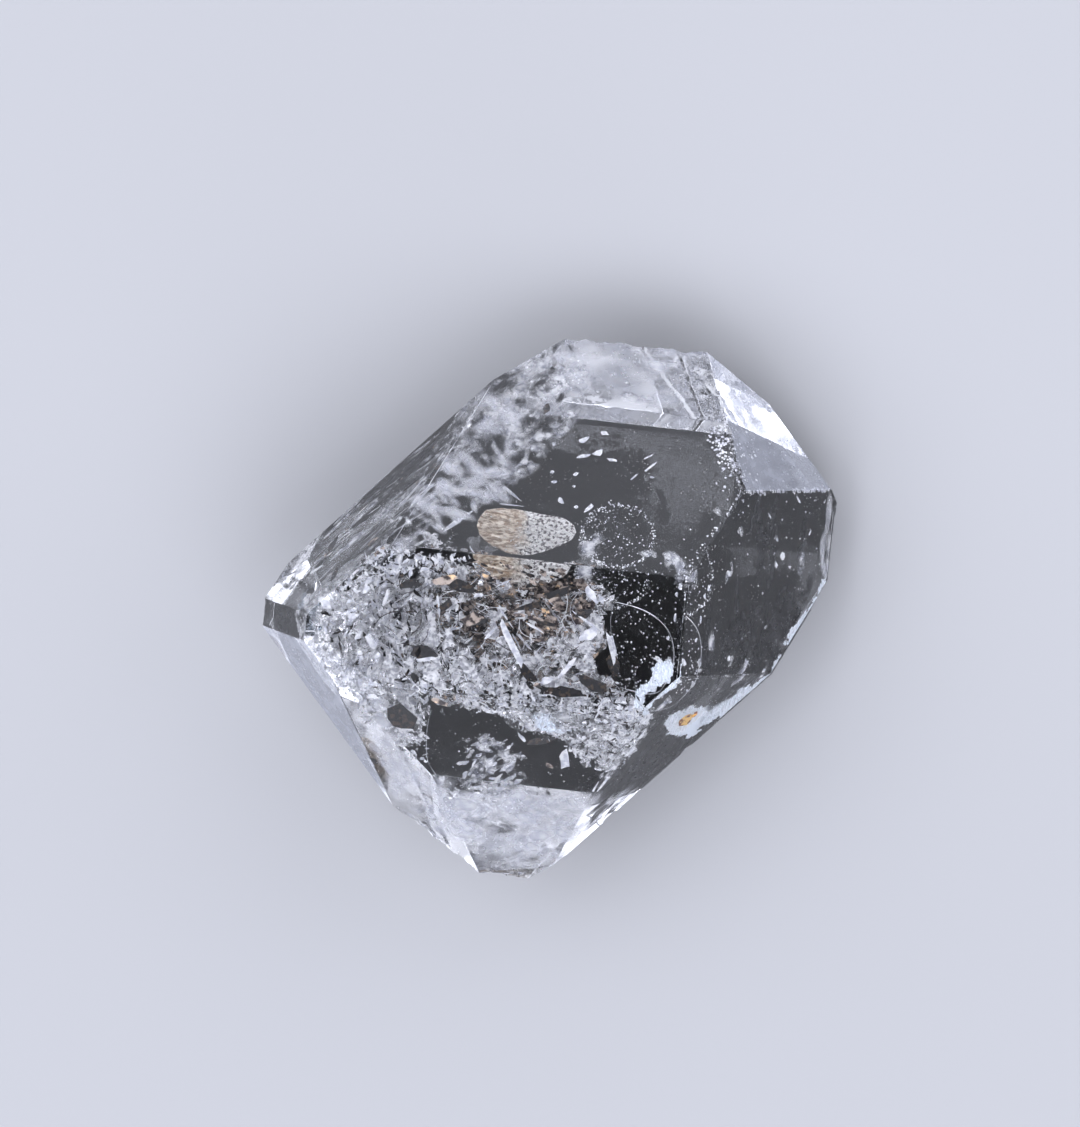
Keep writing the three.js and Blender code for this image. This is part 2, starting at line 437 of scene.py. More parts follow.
class Nodes:
    """The node tree of a material or a world."""

    def __init__(self, owner):
        owner.use_nodes = True
        self.tree = owner.node_tree
        self.tree.nodes.clear()

    def add(self, kind, settings=None, sockets=None, output=0):
        """Adds a node, sets it, fills its sockets, and gives one of its outputs."""
        node = self.tree.nodes.new(kind)
        for name, value in (settings or {}).items():
            setattr(node, name, value)
        for name, value in (sockets or {}).items():
            if isinstance(value, Wire):
                self.tree.links.new(value.socket, node.inputs[name])
            else:
                node.inputs[name].default_value = value
        if not node.outputs:
            return None
        return Wire(self, node.outputs[output])

    def vector_math(self, operation, sockets, output=0):
        return self.add("ShaderNodeVectorMath", {"operation": operation}, sockets, output)

    def dot(self, first, second):
        """How far one vector reaches along another."""
        return self.vector_math("DOT_PRODUCT", {0: first, 1: second}, "Value")

    def place(self):
        """The position on the piece, in millimetres."""
        position = self.add("ShaderNodeTexCoord", output="Object")
        return self.vector_math("SCALE", {0: position, "Scale": 1 / MM})

    def grain(self, size, detail=2.0, stretch=None):
        """Soft noise whose lumps are about `size` mm across."""
        place = self.place()
        if stretch:
            place = self.vector_math("MULTIPLY", {0: place, 1: stretch})
        sockets = {"Vector": place, "Scale": 1 / size, "Detail": detail}
        return self.add("ShaderNodeTexNoise", None, sockets)

    def blend(self, factor, first, second):
        """Mixes two colours."""
        sockets = {0: factor, 6: first, 7: second}
        return self.add("ShaderNodeMix", {"data_type": "RGBA"}, sockets, output=2)

    def bump(self, height, distance):
        """A bump whose full height is `distance` mm."""
        return self.add("ShaderNodeBump", None, {"Height": height, "Distance": distance * MM})

    def principled(self, sockets):
        return self.add("ShaderNodeBsdfPrincipled", None, sockets)

    def finish(self, surface, volume=None):
        sockets = {"Surface": surface}
        if volume:
            sockets["Volume"] = volume
        self.add("ShaderNodeOutputMaterial", None, sockets)

    def film(self, colour, roughness, **more):
        """Finishes a film of rough metal, which also catches light that comes through quartz."""
        sockets = {"Base Color": colour, "Metallic": 1.0, "Roughness": roughness, **more}
        self.finish(self.principled(sockets))


def material(name):
    made = bpy.data.materials.new(name)
    return made, Nodes(made)


# %% [markdown]
# ## Clear quartz
#
# Quartz is glass-clear, so it is plain transmission with quartz's refractive index and a trace of
# absorption. What makes it look natural is on its skin: low growth hills that bend the
# reflections, and a little dust, which is the same glass with a rougher skin. Two faces carry
# painted light: a pale matt film that paints in the light seen through them. Their film is a second
# shader, mixed in only where a ray comes from outside, so that the reflections on their inner side
# stay clear.

# %% Quartz
quartz, nodes = material("clear_quartz")
hills = nodes.grain(2.6, detail=3)
pits = nodes.grain(0.35, detail=2)
skin = nodes.bump(hills + pits * 0.06, 0.006)
dusty = nodes.grain(1.3, detail=3).above(0.42, 0.62)
specks = nodes.grain(0.09, detail=1).above(0.63, 0.74) * dusty
haze = nodes.grain(0.5, detail=4).above(0.3, 0.75)


def on_face(nodes, name):
    """1 on the flat part of one face of the crystal, and 0 elsewhere."""
    normal = nodes.add("ShaderNodeTexCoord", output="Normal")
    return nodes.dot(normal, faces[name][0]).above(0.997, 0.9985)


# Painted light: a pale matt film that lightens two faces.
painted_light_faces = on_face(nodes, FAR_RIGHT) * 0.3 + on_face(nodes, NEAR_HIGH_LEFT) * 0.32
outside = 1 - nodes.add("ShaderNodeNewGeometry", output="Backfacing")
clear = nodes.principled({
    "Base Color": (1, 1, 1, 1),
    "Roughness": specks * 0.5,
    "IOR": QUARTZ_IOR,
    "Transmission Weight": 1.0,
    "Normal": skin,
})
# The film that paints light on two faces: pale, matt and opaque.
film = nodes.principled({"Base Color": (0.78, 0.81, 0.9, 1), "Roughness": 0.6, "IOR": QUARTZ_IOR})
painted_light_share = painted_light_faces * (haze * 0.3 + 0.75) * outside
surface = nodes.add("ShaderNodeMixShader", None, {0: painted_light_share, 1: clear, 2: film})
depth = nodes.add("ShaderNodeVolumeAbsorption", None, {"Color": (0.9, 0.94, 1.0, 1), "Density": 4.0})
nodes.finish(surface, depth)
settle(crystal, quartz)
print("clear quartz:", len(nodes.tree.nodes), "nodes, index", QUARTZ_IOR)

# %% [markdown]
# ## Reliefs
#
# A crack inside quartz is a gap thinner than paper. Its walls are crumpled into little shells and
# facets, and where they lean enough they reflect all light, so a crack glitters in white and
# black. A relief gives the height of such a wall at each of its points, from noise of several
# sizes and from scooped shells with sharp rims between them.

# %% Heights in millimetres
# Noise with a direction starts from the clock unless it is given a seed.
NOISE_SEED = 7
noise.seed_set(NOISE_SEED)


def shells(point, size, depth):
    """Scooped shells about `size` mm across."""
    bent = point / size + noise.noise_vector(point / size * 0.6) * 0.6
    return depth * size * noise.voronoi(bent)[0][0] ** 2


def crushed(point):
    """Rough at four sizes, with wide shells and small ones."""
    sizes = (1.1, 0.4, 0.15, 0.07)
    rough = sum(0.25 * size * noise.noise(point / size + Vector((0, 0, 7 * size))) for size in sizes)
    return rough + shells(point, 1.5, 0.35) + shells(point + Vector((9, 4, 2)), 0.5, 0.4)


def fibres(point):
    """Fine ribs, as in a comb."""
    comb = Vector((point.x * 4, point.y, 0))
    return 0.1 * noise.noise(comb / 0.3) + 0.04 * noise.noise(comb / 0.1)


def combed(point):
    """Ribs with small shells across them."""
    return fibres(point) * 1.6 + shells(point, 0.6, 0.5)


print("a crushed wall 1, 2 and 3 mm along:", [round(crushed(Vector((x, 0, 0))), 2) for x in (1, 2, 3)])

# %% [markdown]
# ## Crumpled sheets
#
# The gap of a crack is modelled as what it is: a thin closed skin. A grid of jittered points,
# lifted by a relief, gives it facets. Grid cells beyond a ragged outline are left out, and so are
# those where the sheet is torn. The outline is given in picture points, and lines of sight carry
# it to the sheet's plane.

# %% Sheets
FILM_THICK = 0.012
JITTER = 0.35


def flat_frame(normal):
    """Two directions at right angles to `normal` and each other."""
    side = Vector((1, 0, 0)) - normal * normal.x
    side.normalize()
    return side, normal.cross(side)


def inside_outline(outline, x, y):
    """Whether (x, y) lies in a closed outline: it does if a line from it crosses the rim oddly."""
    odd = False
    for (x0, y0), (x1, y1) in zip(outline, outline[1:] + outline[:1]):
        if (y0 > y) != (y1 > y) and x < x0 + (y - y0) / (y1 - y0) * (x1 - x0):
            odd = not odd
    return odd


def crumpled_sheet(outline, spot, normal, cell, relief, torn, seed):
    """A closed skin whose plane passes through `spot`: a picture point and a depth."""
    point = at_depth(*spot)
    normal = Vector(normal).normalized()
    side, up = flat_frame(normal)
    rim = []
    for x, y in outline:
        offset = on_plane(x, y, point, normal) - point
        rim.append((offset.dot(side), offset.dot(up)))
    low_u, low_v = min(u for u, v in rim), min(v for u, v in rim)
    columns = int((max(u for u, v in rim) - low_u) / cell) + 2
    rows = int((max(v for u, v in rim) - low_v) / cell) + 2
    shift = Vector((seed * 13.1, seed * 5.7, seed * 3.3))
    chance = random.Random(seed)
    body = bmesh.new()
    corners = {}

    def vertex(i, j):
        if (i, j) not in corners:
            u = low_u + (i + chance.uniform(-JITTER, JITTER)) * cell
            v = low_v + (j + chance.uniform(-JITTER, JITTER)) * cell
            lift = relief(Vector((u, v, 0)) + shift)
            corners[i, j] = body.verts.new(point + side * u + up * v + normal * lift)
        return corners[i, j]

    for i in range(columns):
        for j in range(rows):
            middle = Vector((low_u + (i + 0.5) * cell, low_v + (j + 0.5) * cell, 0))
            wander = noise.noise_vector(middle * 1.6 + shift) * 0.3
            wander += noise.noise_vector(middle * 6 + shift) * 0.1
            if not inside_outline(rim, middle.x + wander.x, middle.y + wander.y):
                continue
            if torn is not None and noise.fractal(middle * 2.2 + shift, 0.9, 2.1, 4) < torn:
                continue
            a, b, c, d = vertex(i, j), vertex(i + 1, j), vertex(i + 1, j + 1), vertex(i, j + 1)
            for half in ((a, b, c), (a, c, d)) if chance.random() < 0.5 else ((a, b, d), (b, c, d)):
                body.faces.new(half)
    skin = bmesh.ops.extrude_face_region(body, geom=body.faces[:])
    lifted = [part for part in skin["geom"] if isinstance(part, bmesh.types.BMVert)]
    bmesh.ops.translate(body, vec=normal * FILM_THICK, verts=lifted)
    bmesh.ops.recalc_face_normals(body, faces=body.faces[:])
    return body


def crumpled_sheets(rows):
    """Several crumpled sheets in one bmesh."""
    whole = bmesh.new()
    for row in rows:
        body = crumpled_sheet(*row)
        part = bpy.data.meshes.new("part")
        body.to_mesh(part)
        body.free()
        whole.from_mesh(part)
        bpy.data.meshes.remove(part)
    return whole


print("each film is", FILM_THICK, "mm thick")

# %% [markdown]
# ## Under the skin
#
# A sheet's corner can poke out of the crystal near an edge. Every inclusion therefore passes
# through one function, which moves such points back under the face that they have passed.

# %% Inclusions stay inside
UNDER_SKIN = 0.03


def enclosed(body, name, material):
    """Makes an inclusion's object, keeps it inside, and prints its size."""
    for vertex in body.verts:
        for normal, reach in faces.values():
            over = normal.dot(vertex.co) - (reach - UNDER_SKIN)
            if over > 0:
                vertex.co -= normal * over
    print(name + ":", len(body.faces), "faces")
    return settle(object_from(body, name), material)


# %% [markdown]
# ## Crack gaps
#
# Open cracks run through the left of the crystal, under the pocket, along the lower edge and up
# the far left ridge. Their skins are flipped, so that the normals point into the gap: light leaves
# the quartz there and enters it again on the other side.

# %% Open cracks
CRACKLE_LEFT = [
    (318, 612), (342, 592), (376, 571), (400, 563), (436, 567), (450, 578), (432, 592), (446, 606),
    (430, 618), (450, 632), (470, 644), (484, 690), (430, 692), (372, 682), (336, 656),
]
LEFT_END = [
    (316, 614), (340, 594), (368, 578), (378, 640), (388, 684), (380, 694), (366, 688), (352, 690),
    (338, 680), (330, 668), (322, 664), (312, 642),
]
CRACKLE_MIDDLE = [
    (420, 556), (478, 566), (540, 600), (590, 580), (612, 600), (600, 624), (606, 640), (590, 664),
    (616, 682), (640, 704), (618, 716), (560, 708), (500, 702), (440, 692),
]
CRACKLE_NEAR = [
    (500, 698), (560, 702), (640, 708), (646, 728), (620, 770), (584, 764), (574, 742), (540, 740),
    (512, 724),
]
CRACKLE_NEAR_LEFT = [(372, 686), (408, 692), (426, 704), (428, 740), (404, 746), (378, 722)]
CRACKLE_FAR_LEFT = [(500, 386), (545, 366), (566, 396), (560, 426), (530, 440), (500, 436), (476, 420)]
# Each sheet: its outline, its spot, its normal, the size of its grid cells, its relief, how far
# it is torn (None is whole, and a higher number leaves less), and its seed.
GAPS = [
    (CRACKLE_LEFT, (400, 630, 1.5), (-0.1, -0.1, 1), 0.15, crushed, -0.4, 1),
    (LEFT_END, (340, 630, 0.4), (0, 0, 1), 0.08, crushed, -0.3, 14),
    (CRACKLE_LEFT, (400, 630, 2.6), (0.2, 0.1, 1), 0.06, crushed, -0.2, 2),
    (CRACKLE_MIDDLE, (530, 650, 1.9), (0.1, -0.2, 1), 0.13, crushed, -0.4, 3),
    (CRACKLE_MIDDLE, (530, 650, 3.4), (-0.2, 0.1, 1), 0.06, crushed, -0.1, 4),
    (CRACKLE_NEAR, (560, 730, 1.2), (0.1, -0.5, 1), 0.06, crushed, -0.4, 5),
    (CRACKLE_NEAR_LEFT, (400, 714, 2.0), (-0.3, -0.4, 1), 0.08, crushed, None, 6),
    (CRACKLE_FAR_LEFT, (520, 400, 3.6), (-0.3, 0.4, 1), 0.1, crushed, -0.1, 7),
]
gap_wall, nodes = material("gap_wall")
nodes.finish(nodes.principled({
    "Base Color": (1, 1, 1, 1),
    "Roughness": nodes.grain(0.5, detail=2).above(0.45, 0.7) * 0.25,
    "IOR": QUARTZ_IOR,
    "Transmission Weight": 1.0,
    "Normal": nodes.bump(nodes.grain(0.08, detail=2), 0.01),
}))
healed_cracks = enclosed(crumpled_sheets(GAPS), "healed_cracks", gap_wall)
healed_cracks.data.flip_normals()

# %% [markdown]
# ## Crack linings
#
# Deeper down the cracks are lined, with white powder on the left and along the lower edge. The
# same crumpled sheets carry a matt lining, a film of rough metal.

# %% White linings
LINING_LOW = [
    (430, 650), (500, 668), (540, 690), (600, 684), (646, 700), (652, 722), (622, 768), (590, 764),
    (560, 738), (470, 704),
]
WHITE_LININGS = [
    (CRACKLE_LEFT, (400, 630, 3.0), (0.1, -0.15, 1), 0.06, crushed, -0.35, 21),
    (CRACKLE_LEFT, (400, 630, 1.0), (-0.15, 0.1, 1), 0.05, crushed, 0.12, 22),
    (LEFT_END, (340, 630, 0.7), (0, 0, 1), 0.05, crushed, -0.1, 29),
    (LINING_LOW, (540, 710, 1.6), (0.05, -0.4, 1), 0.055, crushed, -0.02, 23),
    (CRACKLE_MIDDLE, (530, 650, 1.1), (0.1, 0.1, 1), 0.05, crushed, 0.2, 24),
    (CRACKLE_NEAR_LEFT, (400, 714, 1.0), (-0.3, -0.3, 1), 0.05, crushed, 0.05, 25),
]
powder, nodes = material("white_powder")
grit = nodes.grain(0.16, detail=5).above(0.36, 0.56)
powdery = nodes.blend(grit, (0.62, 0.62, 0.65, 1), (1.0, 1.0, 1.0, 1))
nodes.film(powdery, 0.75, Normal=nodes.bump(grit, 0.03))
enclosed(crumpled_sheets(WHITE_LININGS), "white_linings", powder)

# %% [markdown]
# Under the brine pocket the lining is tar instead: black where it lies thick, then brown, and
# orange where it is thinnest.

# %% Tar linings
TAR_PATCH = [
    (424, 560), (470, 574), (520, 590), (575, 580), (604, 594), (580, 632), (520, 646), (470, 640),
    (432, 606),
]
TAR_LININGS = [
    (TAR_PATCH, (520, 610, 2.2), (0.1, 0.1, 1), 0.06, crushed, -0.3, 26),
    (TAR_PATCH, (520, 610, 1.2), (-0.1, 0.2, 1), 0.05, crushed, 0.05, 27),
    (CRACKLE_MIDDLE, (520, 640, 2.8), (0.1, -0.1, 1), 0.07, crushed, 0.1, 28),
]
tar, nodes = material("tar_film")
brown = nodes.grain(0.22, detail=5).above(0.4, 0.6)
orange = nodes.grain(0.35, detail=3).above(0.6, 0.7)
tarry = nodes.blend(brown, (0.06, 0.05, 0.05, 1), (0.5, 0.42, 0.36, 1))
tarry = nodes.blend(orange, tarry, (0.95, 0.68, 0.42, 1))
nodes.film(tarry, 0.5, Normal=nodes.bump(nodes.grain(0.12, detail=3), 0.02))
enclosed(crumpled_sheets(TAR_LININGS), "tar_linings", tar)

# %% [markdown]
# ## Flakes
#
# Beside the gaps lie splinters and plates of film, bright on one side and dark on the other. Each
# is a small ragged plate. A flake is given by where it shows, its length and width in picture
# points, the way it points, and how deep it lies.

# %% Plates
PICTURE_POINT = 0.035
RIM_POINTS = 9


def add_plate(body, chance, middle, along, normal, long, wide, taper):
    """Adds a ragged flat plate to a bmesh. `taper` narrows its far end."""
    sideways = normal.cross(along)
    low, high = [], []
    for i in range(RIM_POINTS):
        turn = 2 * math.pi * (i + chance.uniform(-JITTER, JITTER)) / RIM_POINTS
        reach = chance.uniform(0.6, 1.15)
        narrow = 1 - taper * (0.5 + 0.5 * math.cos(turn))
        offset = along * (math.cos(turn) * reach * long / 2)
        offset += sideways * (math.sin(turn) * reach * wide / 2 * narrow)
        low.append(body.verts.new(middle + offset))
        high.append(body.verts.new(middle + offset + normal * FILM_THICK))
    body.faces.new(low[::-1])
    body.faces.new(high)
    for i in range(RIM_POINTS):
        j = (i + 1) % RIM_POINTS
        body.faces.new((low[i], low[j], high[j], high[i]))


def lay(x, y, angle, depth, lean, chance):
    """Where a flake lies, which way it points, and its tilted normal."""
    depth = min(depth, 0.97 * thickness(x, y))  # It never lies behind the crystal.
    step = Vector((math.cos(math.radians(angle)), -math.sin(math.radians(angle))))
    start = at_depth(x - step.x, y - step.y, depth)
    end = at_depth(x + step.x, y + step.y, depth)
    along = (end - start).normalized()
    ray = sight(x, y)[1]
    facing = -(ray - along * ray.dot(along)).normalized()
    facing = Matrix.Rotation(chance.uniform(-lean, lean), 3, along) @ facing
    return (start + end) / 2, along, facing


def add_flake(body, chance, x, y, long, wide, angle, depth, lean=0.35, taper=0.0):
    """A plate seen at (x, y), `angle` degrees anticlockwise from the picture's right."""
    middle, along, facing = lay(x, y, angle, depth, lean, chance)
    add_plate(body, chance, middle, along, facing, long * PICTURE_POINT, wide * PICTURE_POINT, taper)


print("a flake of 20 points is", round(20 * PICTURE_POINT, 2), "mm long")

# %% [markdown]
# Most flakes are too small and too many to place one by one. They are scattered over fields: an
# outline, how many, how deep, how long and which way. A piece then takes any number of groups,
# each with the function that adds its rows, and all draw on the same run of random numbers.

# %% Scattering
ANY_WAY = (0, 180)
SPLINTER = (0.05, 0.14)


def scatter_points(outline, count, chance):
    """Random picture points within an outline."""
    xs, ys = [x for x, y in outline], [y for x, y in outline]
    placed = 0
    while placed < count:
        x, y = chance.uniform(min(xs), max(xs)), chance.uniform(min(ys), max(ys))
        if inside_outline(outline, x, y):
            placed += 1
            yield x, y


def scatter_flakes(body, chance, outline, count, depths, sizes, angles, lean=0.9, shape=(0.25, 0.7)):
    """Random flakes within an outline, most of them small. `shape` is their width over length."""
    for x, y in scatter_points(outline, count, chance):
        long = between(sizes, chance.random() ** 3)
        wide = long * chance.uniform(*shape)
        angle = chance.uniform(*angles)
        add_flake(body, chance, x, y, long, wide, angle, chance.uniform(*depths), lean)


def scattered(name, film, chance, *groups):
    """One piece from groups of rows, each group with the function that adds such a row."""
    body = bmesh.new()
    for add, rows in groups:
        for row in rows:
            add(body, chance, *row)
    return enclosed(body, name, film)


# %% [markdown]
# ## White flakes
#
# The larger flakes are placed one by one: in the far part, down the right side, and over the
# cracks of the left and middle. A few long shards stand out of them, narrow at one end.

# %% Single flakes
# Each flake: x, y, length, width, angle, depth.
FAR_FLAKES = [
    (583, 440, 14, 6, 25, 3.0), (605, 433, 9, 6, -5, 2.6), (554, 444, 5, 4, 0, 3.0),
    (583, 456, 22, 4, 12, 3.2), (598, 453, 13, 8, 20, 3.2), (612, 460, 11, 4, -8, 3.4),
    (648, 457, 12, 3, 25, 2.2), (650, 467, 22, 3, 38, 2.4), (634, 477, 14, 2, 42, 2.4),
    (552, 472, 5, 4, 0, 3.6), (576, 474, 7, 5, 30, 3.6), (554, 482, 6, 4, 0, 3.8), (574, 486, 4, 3, 0, 3.8),
    (652, 477, 6, 3, -10, 2.4), (561, 501, 11, 5, -60, 4.2), (456, 522, 39, 5, 35, 2.6),
    (420, 543, 16, 4, 25, 2.2), (576, 507, 5, 4, 0, 3.0), (589, 508, 14, 5, 40, 3.0),
    (507, 408, 14, 4, -40, 2.0), (544, 380, 12, 8, 40, 1.6), (525, 423, 6, 5, 0, 3.0),
    (519, 442, 8, 5, 0, 3.0), (511, 452, 10, 5, 15, 3.0),
]
RIGHT_FLAKES = [
    (776, 538, 9, 4, -70, 1.2), (782, 556, 9, 8, 60, 1.2), (775, 564, 11, 5, -60, 1.4),
    (789, 567, 5, 4, 0, 1.2), (798, 500, 14, 3, -60, 0.8), (769, 516, 12, 2, -65, 1.6),
    (700, 620, 9, 3, 85, 2.0), (708, 588, 8, 4, 80, 2.2), (704, 596, 6, 4, -80, 2.2),
    (695, 640, 5, 4, 60, 2.2), (699, 663, 11, 8, -60, 2.4), (765, 627, 6, 4, 60, 1.2),
    (773, 616, 11, 3, 60, 1.2), (742, 668, 28, 8, 62, 1.2), (728, 658, 6, 4, 80, 1.4),
    (762, 676, 7, 4, 30, 0.6), (734, 691, 5, 3, 20, 0.8), (719, 689, 5, 3, 30, 1.0),
    (690, 691, 13, 5, 5, 2.2), (809, 533, 6, 3, 70, 0.6), (659, 660, 14, 6, -42, 2.0),
    (670, 702, 8, 4, -40, 1.6),
]
NEAR_FLAKES = [
    (565, 760, 30, 12, 84, 3.0), (372, 640, 24, 12, -60, 0.3), (612, 648, 36, 9, -76, 0.3),
    (588, 634, 20, 12, 30, 0.3), (591, 594, 24, 8, -63, 0.3), (546, 681, 15, 9, 10, 0.3),
    (567, 668, 30, 5, 48, 0.3), (586, 621, 34, 3, -36, 0.3), (428, 659, 26, 5, 8, 0.3),
    (478, 595, 11, 6, 10, 0.3), (545, 724, 26, 13, -5, 2.4), (522, 738, 18, 5, -50, 2.0),
    (630, 752, 20, 7, 50, 0.3), (641, 736, 16, 6, 55, 0.3), (604, 783, 24, 5, 52, 0.4),
    (350, 612, 16, 8, 30, 0.3), (386, 598, 20, 6, 70, 0.3), (396, 566, 22, 9, 60, 0.3),
    (326, 604, 18, 10, -40, 0.3), (360, 690, 14, 5, 20, 0.3),
]
SHARDS = [
    (514, 650, 80, 13, -64, 0.2), (537, 629, 25, 5, -32, 0.2), (491, 633, 21, 6, 49, 0.2),
    (509, 491, 50, 6, -39, 3.2), (490, 492, 26, 3, -56, 3.2), (512, 505, 32, 3, -6, 3.2),
    (317, 569, 22, 9, 35, 0.5),
]


def add_shard(body, chance, *spot):
    """A flake that runs out to a point and hardly leans."""
    add_flake(body, chance, *spot, lean=0.15, taper=0.85)


print("flakes and shards:", len(FAR_FLAKES + RIGHT_FLAKES + NEAR_FLAKES), "and", len(SHARDS))

# %% [markdown]
# The small ones fill the crackled band, its bright rim, and a feather near the lower tip; a second
# field below the feather paints in its reflection. Their film is rough and pale, with grey clouds in it.

# %% Fields of white flakes
NEAR_FEATHER = [
    (460, 762), (464, 750), (480, 741), (490, 732), (500, 736), (512, 742), (522, 754), (526, 760),
    (514, 768), (496, 772), (476, 779), (461, 776),
]
# A painted reflection: a copy of the near feather, where the feather shows mirrored.
PAINTED_FEATHER_REFLECTION = [
    (466, 784), (480, 778), (500, 775), (520, 777), (532, 788), (528, 802), (510, 812), (490, 804),
    (474, 794),
]
CRACKLE_RIM = [
    (326, 600), (340, 586), (385, 548), (430, 553), (472, 558), (450, 566), (460, 574), (434, 576),
    (396, 572), (345, 606),
]
LEFT_EDGE = [(306, 640), (330, 650), (388, 692), (376, 712), (345, 692), (322, 668)]
LEFT_CORNER = [(350, 688), (374, 686), (388, 712), (374, 724), (356, 704)]
WINDOW_CORNER = [(392, 736), (426, 736), (430, 764), (412, 766)]
UPPER_LEFT_FIELD = [
    (322, 576), (306, 548), (372, 486), (430, 440), (452, 430), (438, 462), (402, 530), (352, 560),
]
# Each field: outline, how many, depths, lengths, angles, and for some the lean and the shape.
WHITE_FIELDS = [
    (CRACKLE_LEFT, 640, (0.5, 2.6), (2, 14), ANY_WAY),
    (LEFT_END, 260, (0.2, 0.8), (2, 14), ANY_WAY),
    (NEAR_FEATHER, 50, (2.2, 3.0), (4, 16), (10, 70), 0.9, (0.2, 0.5)),
    (PAINTED_FEATHER_REFLECTION, 60, (1.8, 2.8), (4, 18), (-30, 60), 0.9, (0.2, 0.5)),
    (CRACKLE_LEFT, 260, (0.4, 2.0), (8, 34), (20, 160), 0.5, SPLINTER),
    (CRACKLE_RIM, 480, (0.1, 0.7), (2, 11), ANY_WAY),
    (LEFT_EDGE, 220, (0.08, 0.4), (2, 9), ANY_WAY),
    (LEFT_CORNER, 90, (0.2, 0.9), (2, 12), ANY_WAY),
    (WINDOW_CORNER, 60, (0.5, 2.0), (2, 9), ANY_WAY),
    (CRACKLE_MIDDLE, 700, (0.8, 3.4), (2, 11), (-70, 30)),
    (CRACKLE_MIDDLE, 130, (0.6, 2.4), (8, 30), (-70, 30), 0.5, SPLINTER),
    (LINING_LOW, 620, (0.5, 2.4), (2, 9), ANY_WAY),
    (CRACKLE_NEAR, 320, (0.4, 2.0), (2, 10), ANY_WAY),
    (CRACKLE_NEAR_LEFT, 70, (0.5, 2.2), (2, 8), ANY_WAY),
    (CRACKLE_FAR_LEFT, 60, (2.0, 4.4), (2, 8), (0, 90)),
    (UPPER_LEFT_FIELD, 60, (0.4, 2.0), (6, 50), (33, 45), 0.9, SPLINTER),
]
foil, nodes = material("white_film")
grey = nodes.grain(0.25, detail=3).above(0.35, 0.6)
cloudy = nodes.blend(grey, (0.7, 0.71, 0.76, 1), (1.0, 1.0, 1.0, 1))
nodes.film(cloudy, 0.7, Normal=nodes.bump(nodes.grain(0.12, detail=2), 0.02))
scattered(
    "white_flakes", foil, random.Random(11),
    (add_flake, FAR_FLAKES + RIGHT_FLAKES + NEAR_FLAKES),
    (add_shard, SHARDS),
    (scatter_flakes, WHITE_FIELDS),
)

# %% [markdown]
# ## Soft veils
#
# Much of what hangs in the quartz has no edge at all: clouds of bubbles too small to see. Veils
# also paint light and shade where the quartz shows reflections, highlights and shadows. A veil
# is a flat lens with a coordinate that runs from 0 at its middle to 1 at its rim. The material
# thins it out along that coordinate and breaks it up with noise, so it fades like a wisp of
# smoke.

# %% Veils and smoke
VEIL_SIDES = 14
VEIL_HALF_THICK = 0.01
VEIL_LEAN = 0.5


def add_veil(body, middle, along, sideways, normal):
    """Adds a lens that carries its own round coordinates."""
    layer = body.loops.layers.uv.verify()
    hubs = [body.verts.new(middle + normal * lift) for lift in (VEIL_HALF_THICK, -VEIL_HALF_THICK)]
    turns = [2 * math.pi * i / VEIL_SIDES for i in range(VEIL_SIDES)]
    compass = [(math.cos(turn), math.sin(turn)) for turn in turns]
    rim = [body.verts.new(middle + along * u + sideways * v) for u, v in compass]
    for hub, order in ((hubs[0], (0, 1)), (hubs[1], (1, 0))):
        for i in range(VEIL_SIDES):
            ends = [(i + step) % VEIL_SIDES for step in order]
            face = body.faces.new((hub, rim[ends[0]], rim[ends[1]]))
            for loop, place in zip(face.loops, ((0, 0), compass[ends[0]], compass[ends[1]])):
                loop[layer].uv = place


def add_smudge(body, chance, x, y, long, wide, angle, depth):
    """A veil seen at (x, y), with its size in picture points."""
    middle, along, facing = lay(x, y, angle, depth, VEIL_LEAN, chance)
    half = PICTURE_POINT / 2
    add_veil(body, middle, along * (long * half), facing.cross(along) * (wide * half), facing)


def scatter_smudges(body, chance, outline, count, depths, sizes, angles, shape=(0.3, 0.6)):
    """Random veils within an outline."""
    for x, y in scatter_points(outline, count, chance):
        long = chance.uniform(*sizes)
        wide = long * chance.uniform(*shape)
        angle = chance.uniform(*angles)
        add_smudge(body, chance, x, y, long, wide, angle, chance.uniform(*depths))


def veil_material(name, dark, bright, strength, smoke_size=0.5, gaps=0.44, fade=0.16):
    """`gaps` is how much of the noise stays clear, and `fade` how slowly the smoke thickens then."""
    made, nodes = material(name)
    rim = nodes.vector_math("LENGTH", {0: nodes.add("ShaderNodeUVMap")}, "Value")
    smoke = nodes.grain(smoke_size, detail=6).above(gaps, gaps + fade)
    cloudy = nodes.blend(nodes.grain(0.25, detail=4).above(0.4, 0.6), dark, bright)
    nodes.film(cloudy, 0.8, Alpha=(1 - rim).above(0.0, 0.8) * smoke * strength)
    return made


bright_veil = veil_material("bright_veil", (0.5, 0.51, 0.56, 1), (1.0, 1.0, 1.0, 1), 0.75)
# Painted highlight: soft pale veils that mottle the bright bands.
painted_highlight_veil = veil_material("painted_highlight_veil", (0.85, 0.86, 0.9, 1), (1.0, 1.0, 1.0, 1), 0.42, 1.6, 0.1, 0.6)
# Painted shade: dark veils where the quartz lies in shadow.
painted_shade_veil = veil_material("painted_shade_veil", (0.015, 0.015, 0.017, 1), (0.08, 0.08, 0.085, 1), 0.9, 0.5, 0.36)
print("veil materials:", bright_veil.name, painted_highlight_veil.name, painted_shade_veil.name)

# %% [markdown]
# Bright veils gather where the cracks end and along the lower right edge; some of them are painted
# reflections, under the far band, on the far left and below the near feather. Milky ones are softer
# painted highlights, and lie under the far band, along the near end and down the left ridge. Dark
# veils are painted shadows between them. The three draw on one run of random numbers.

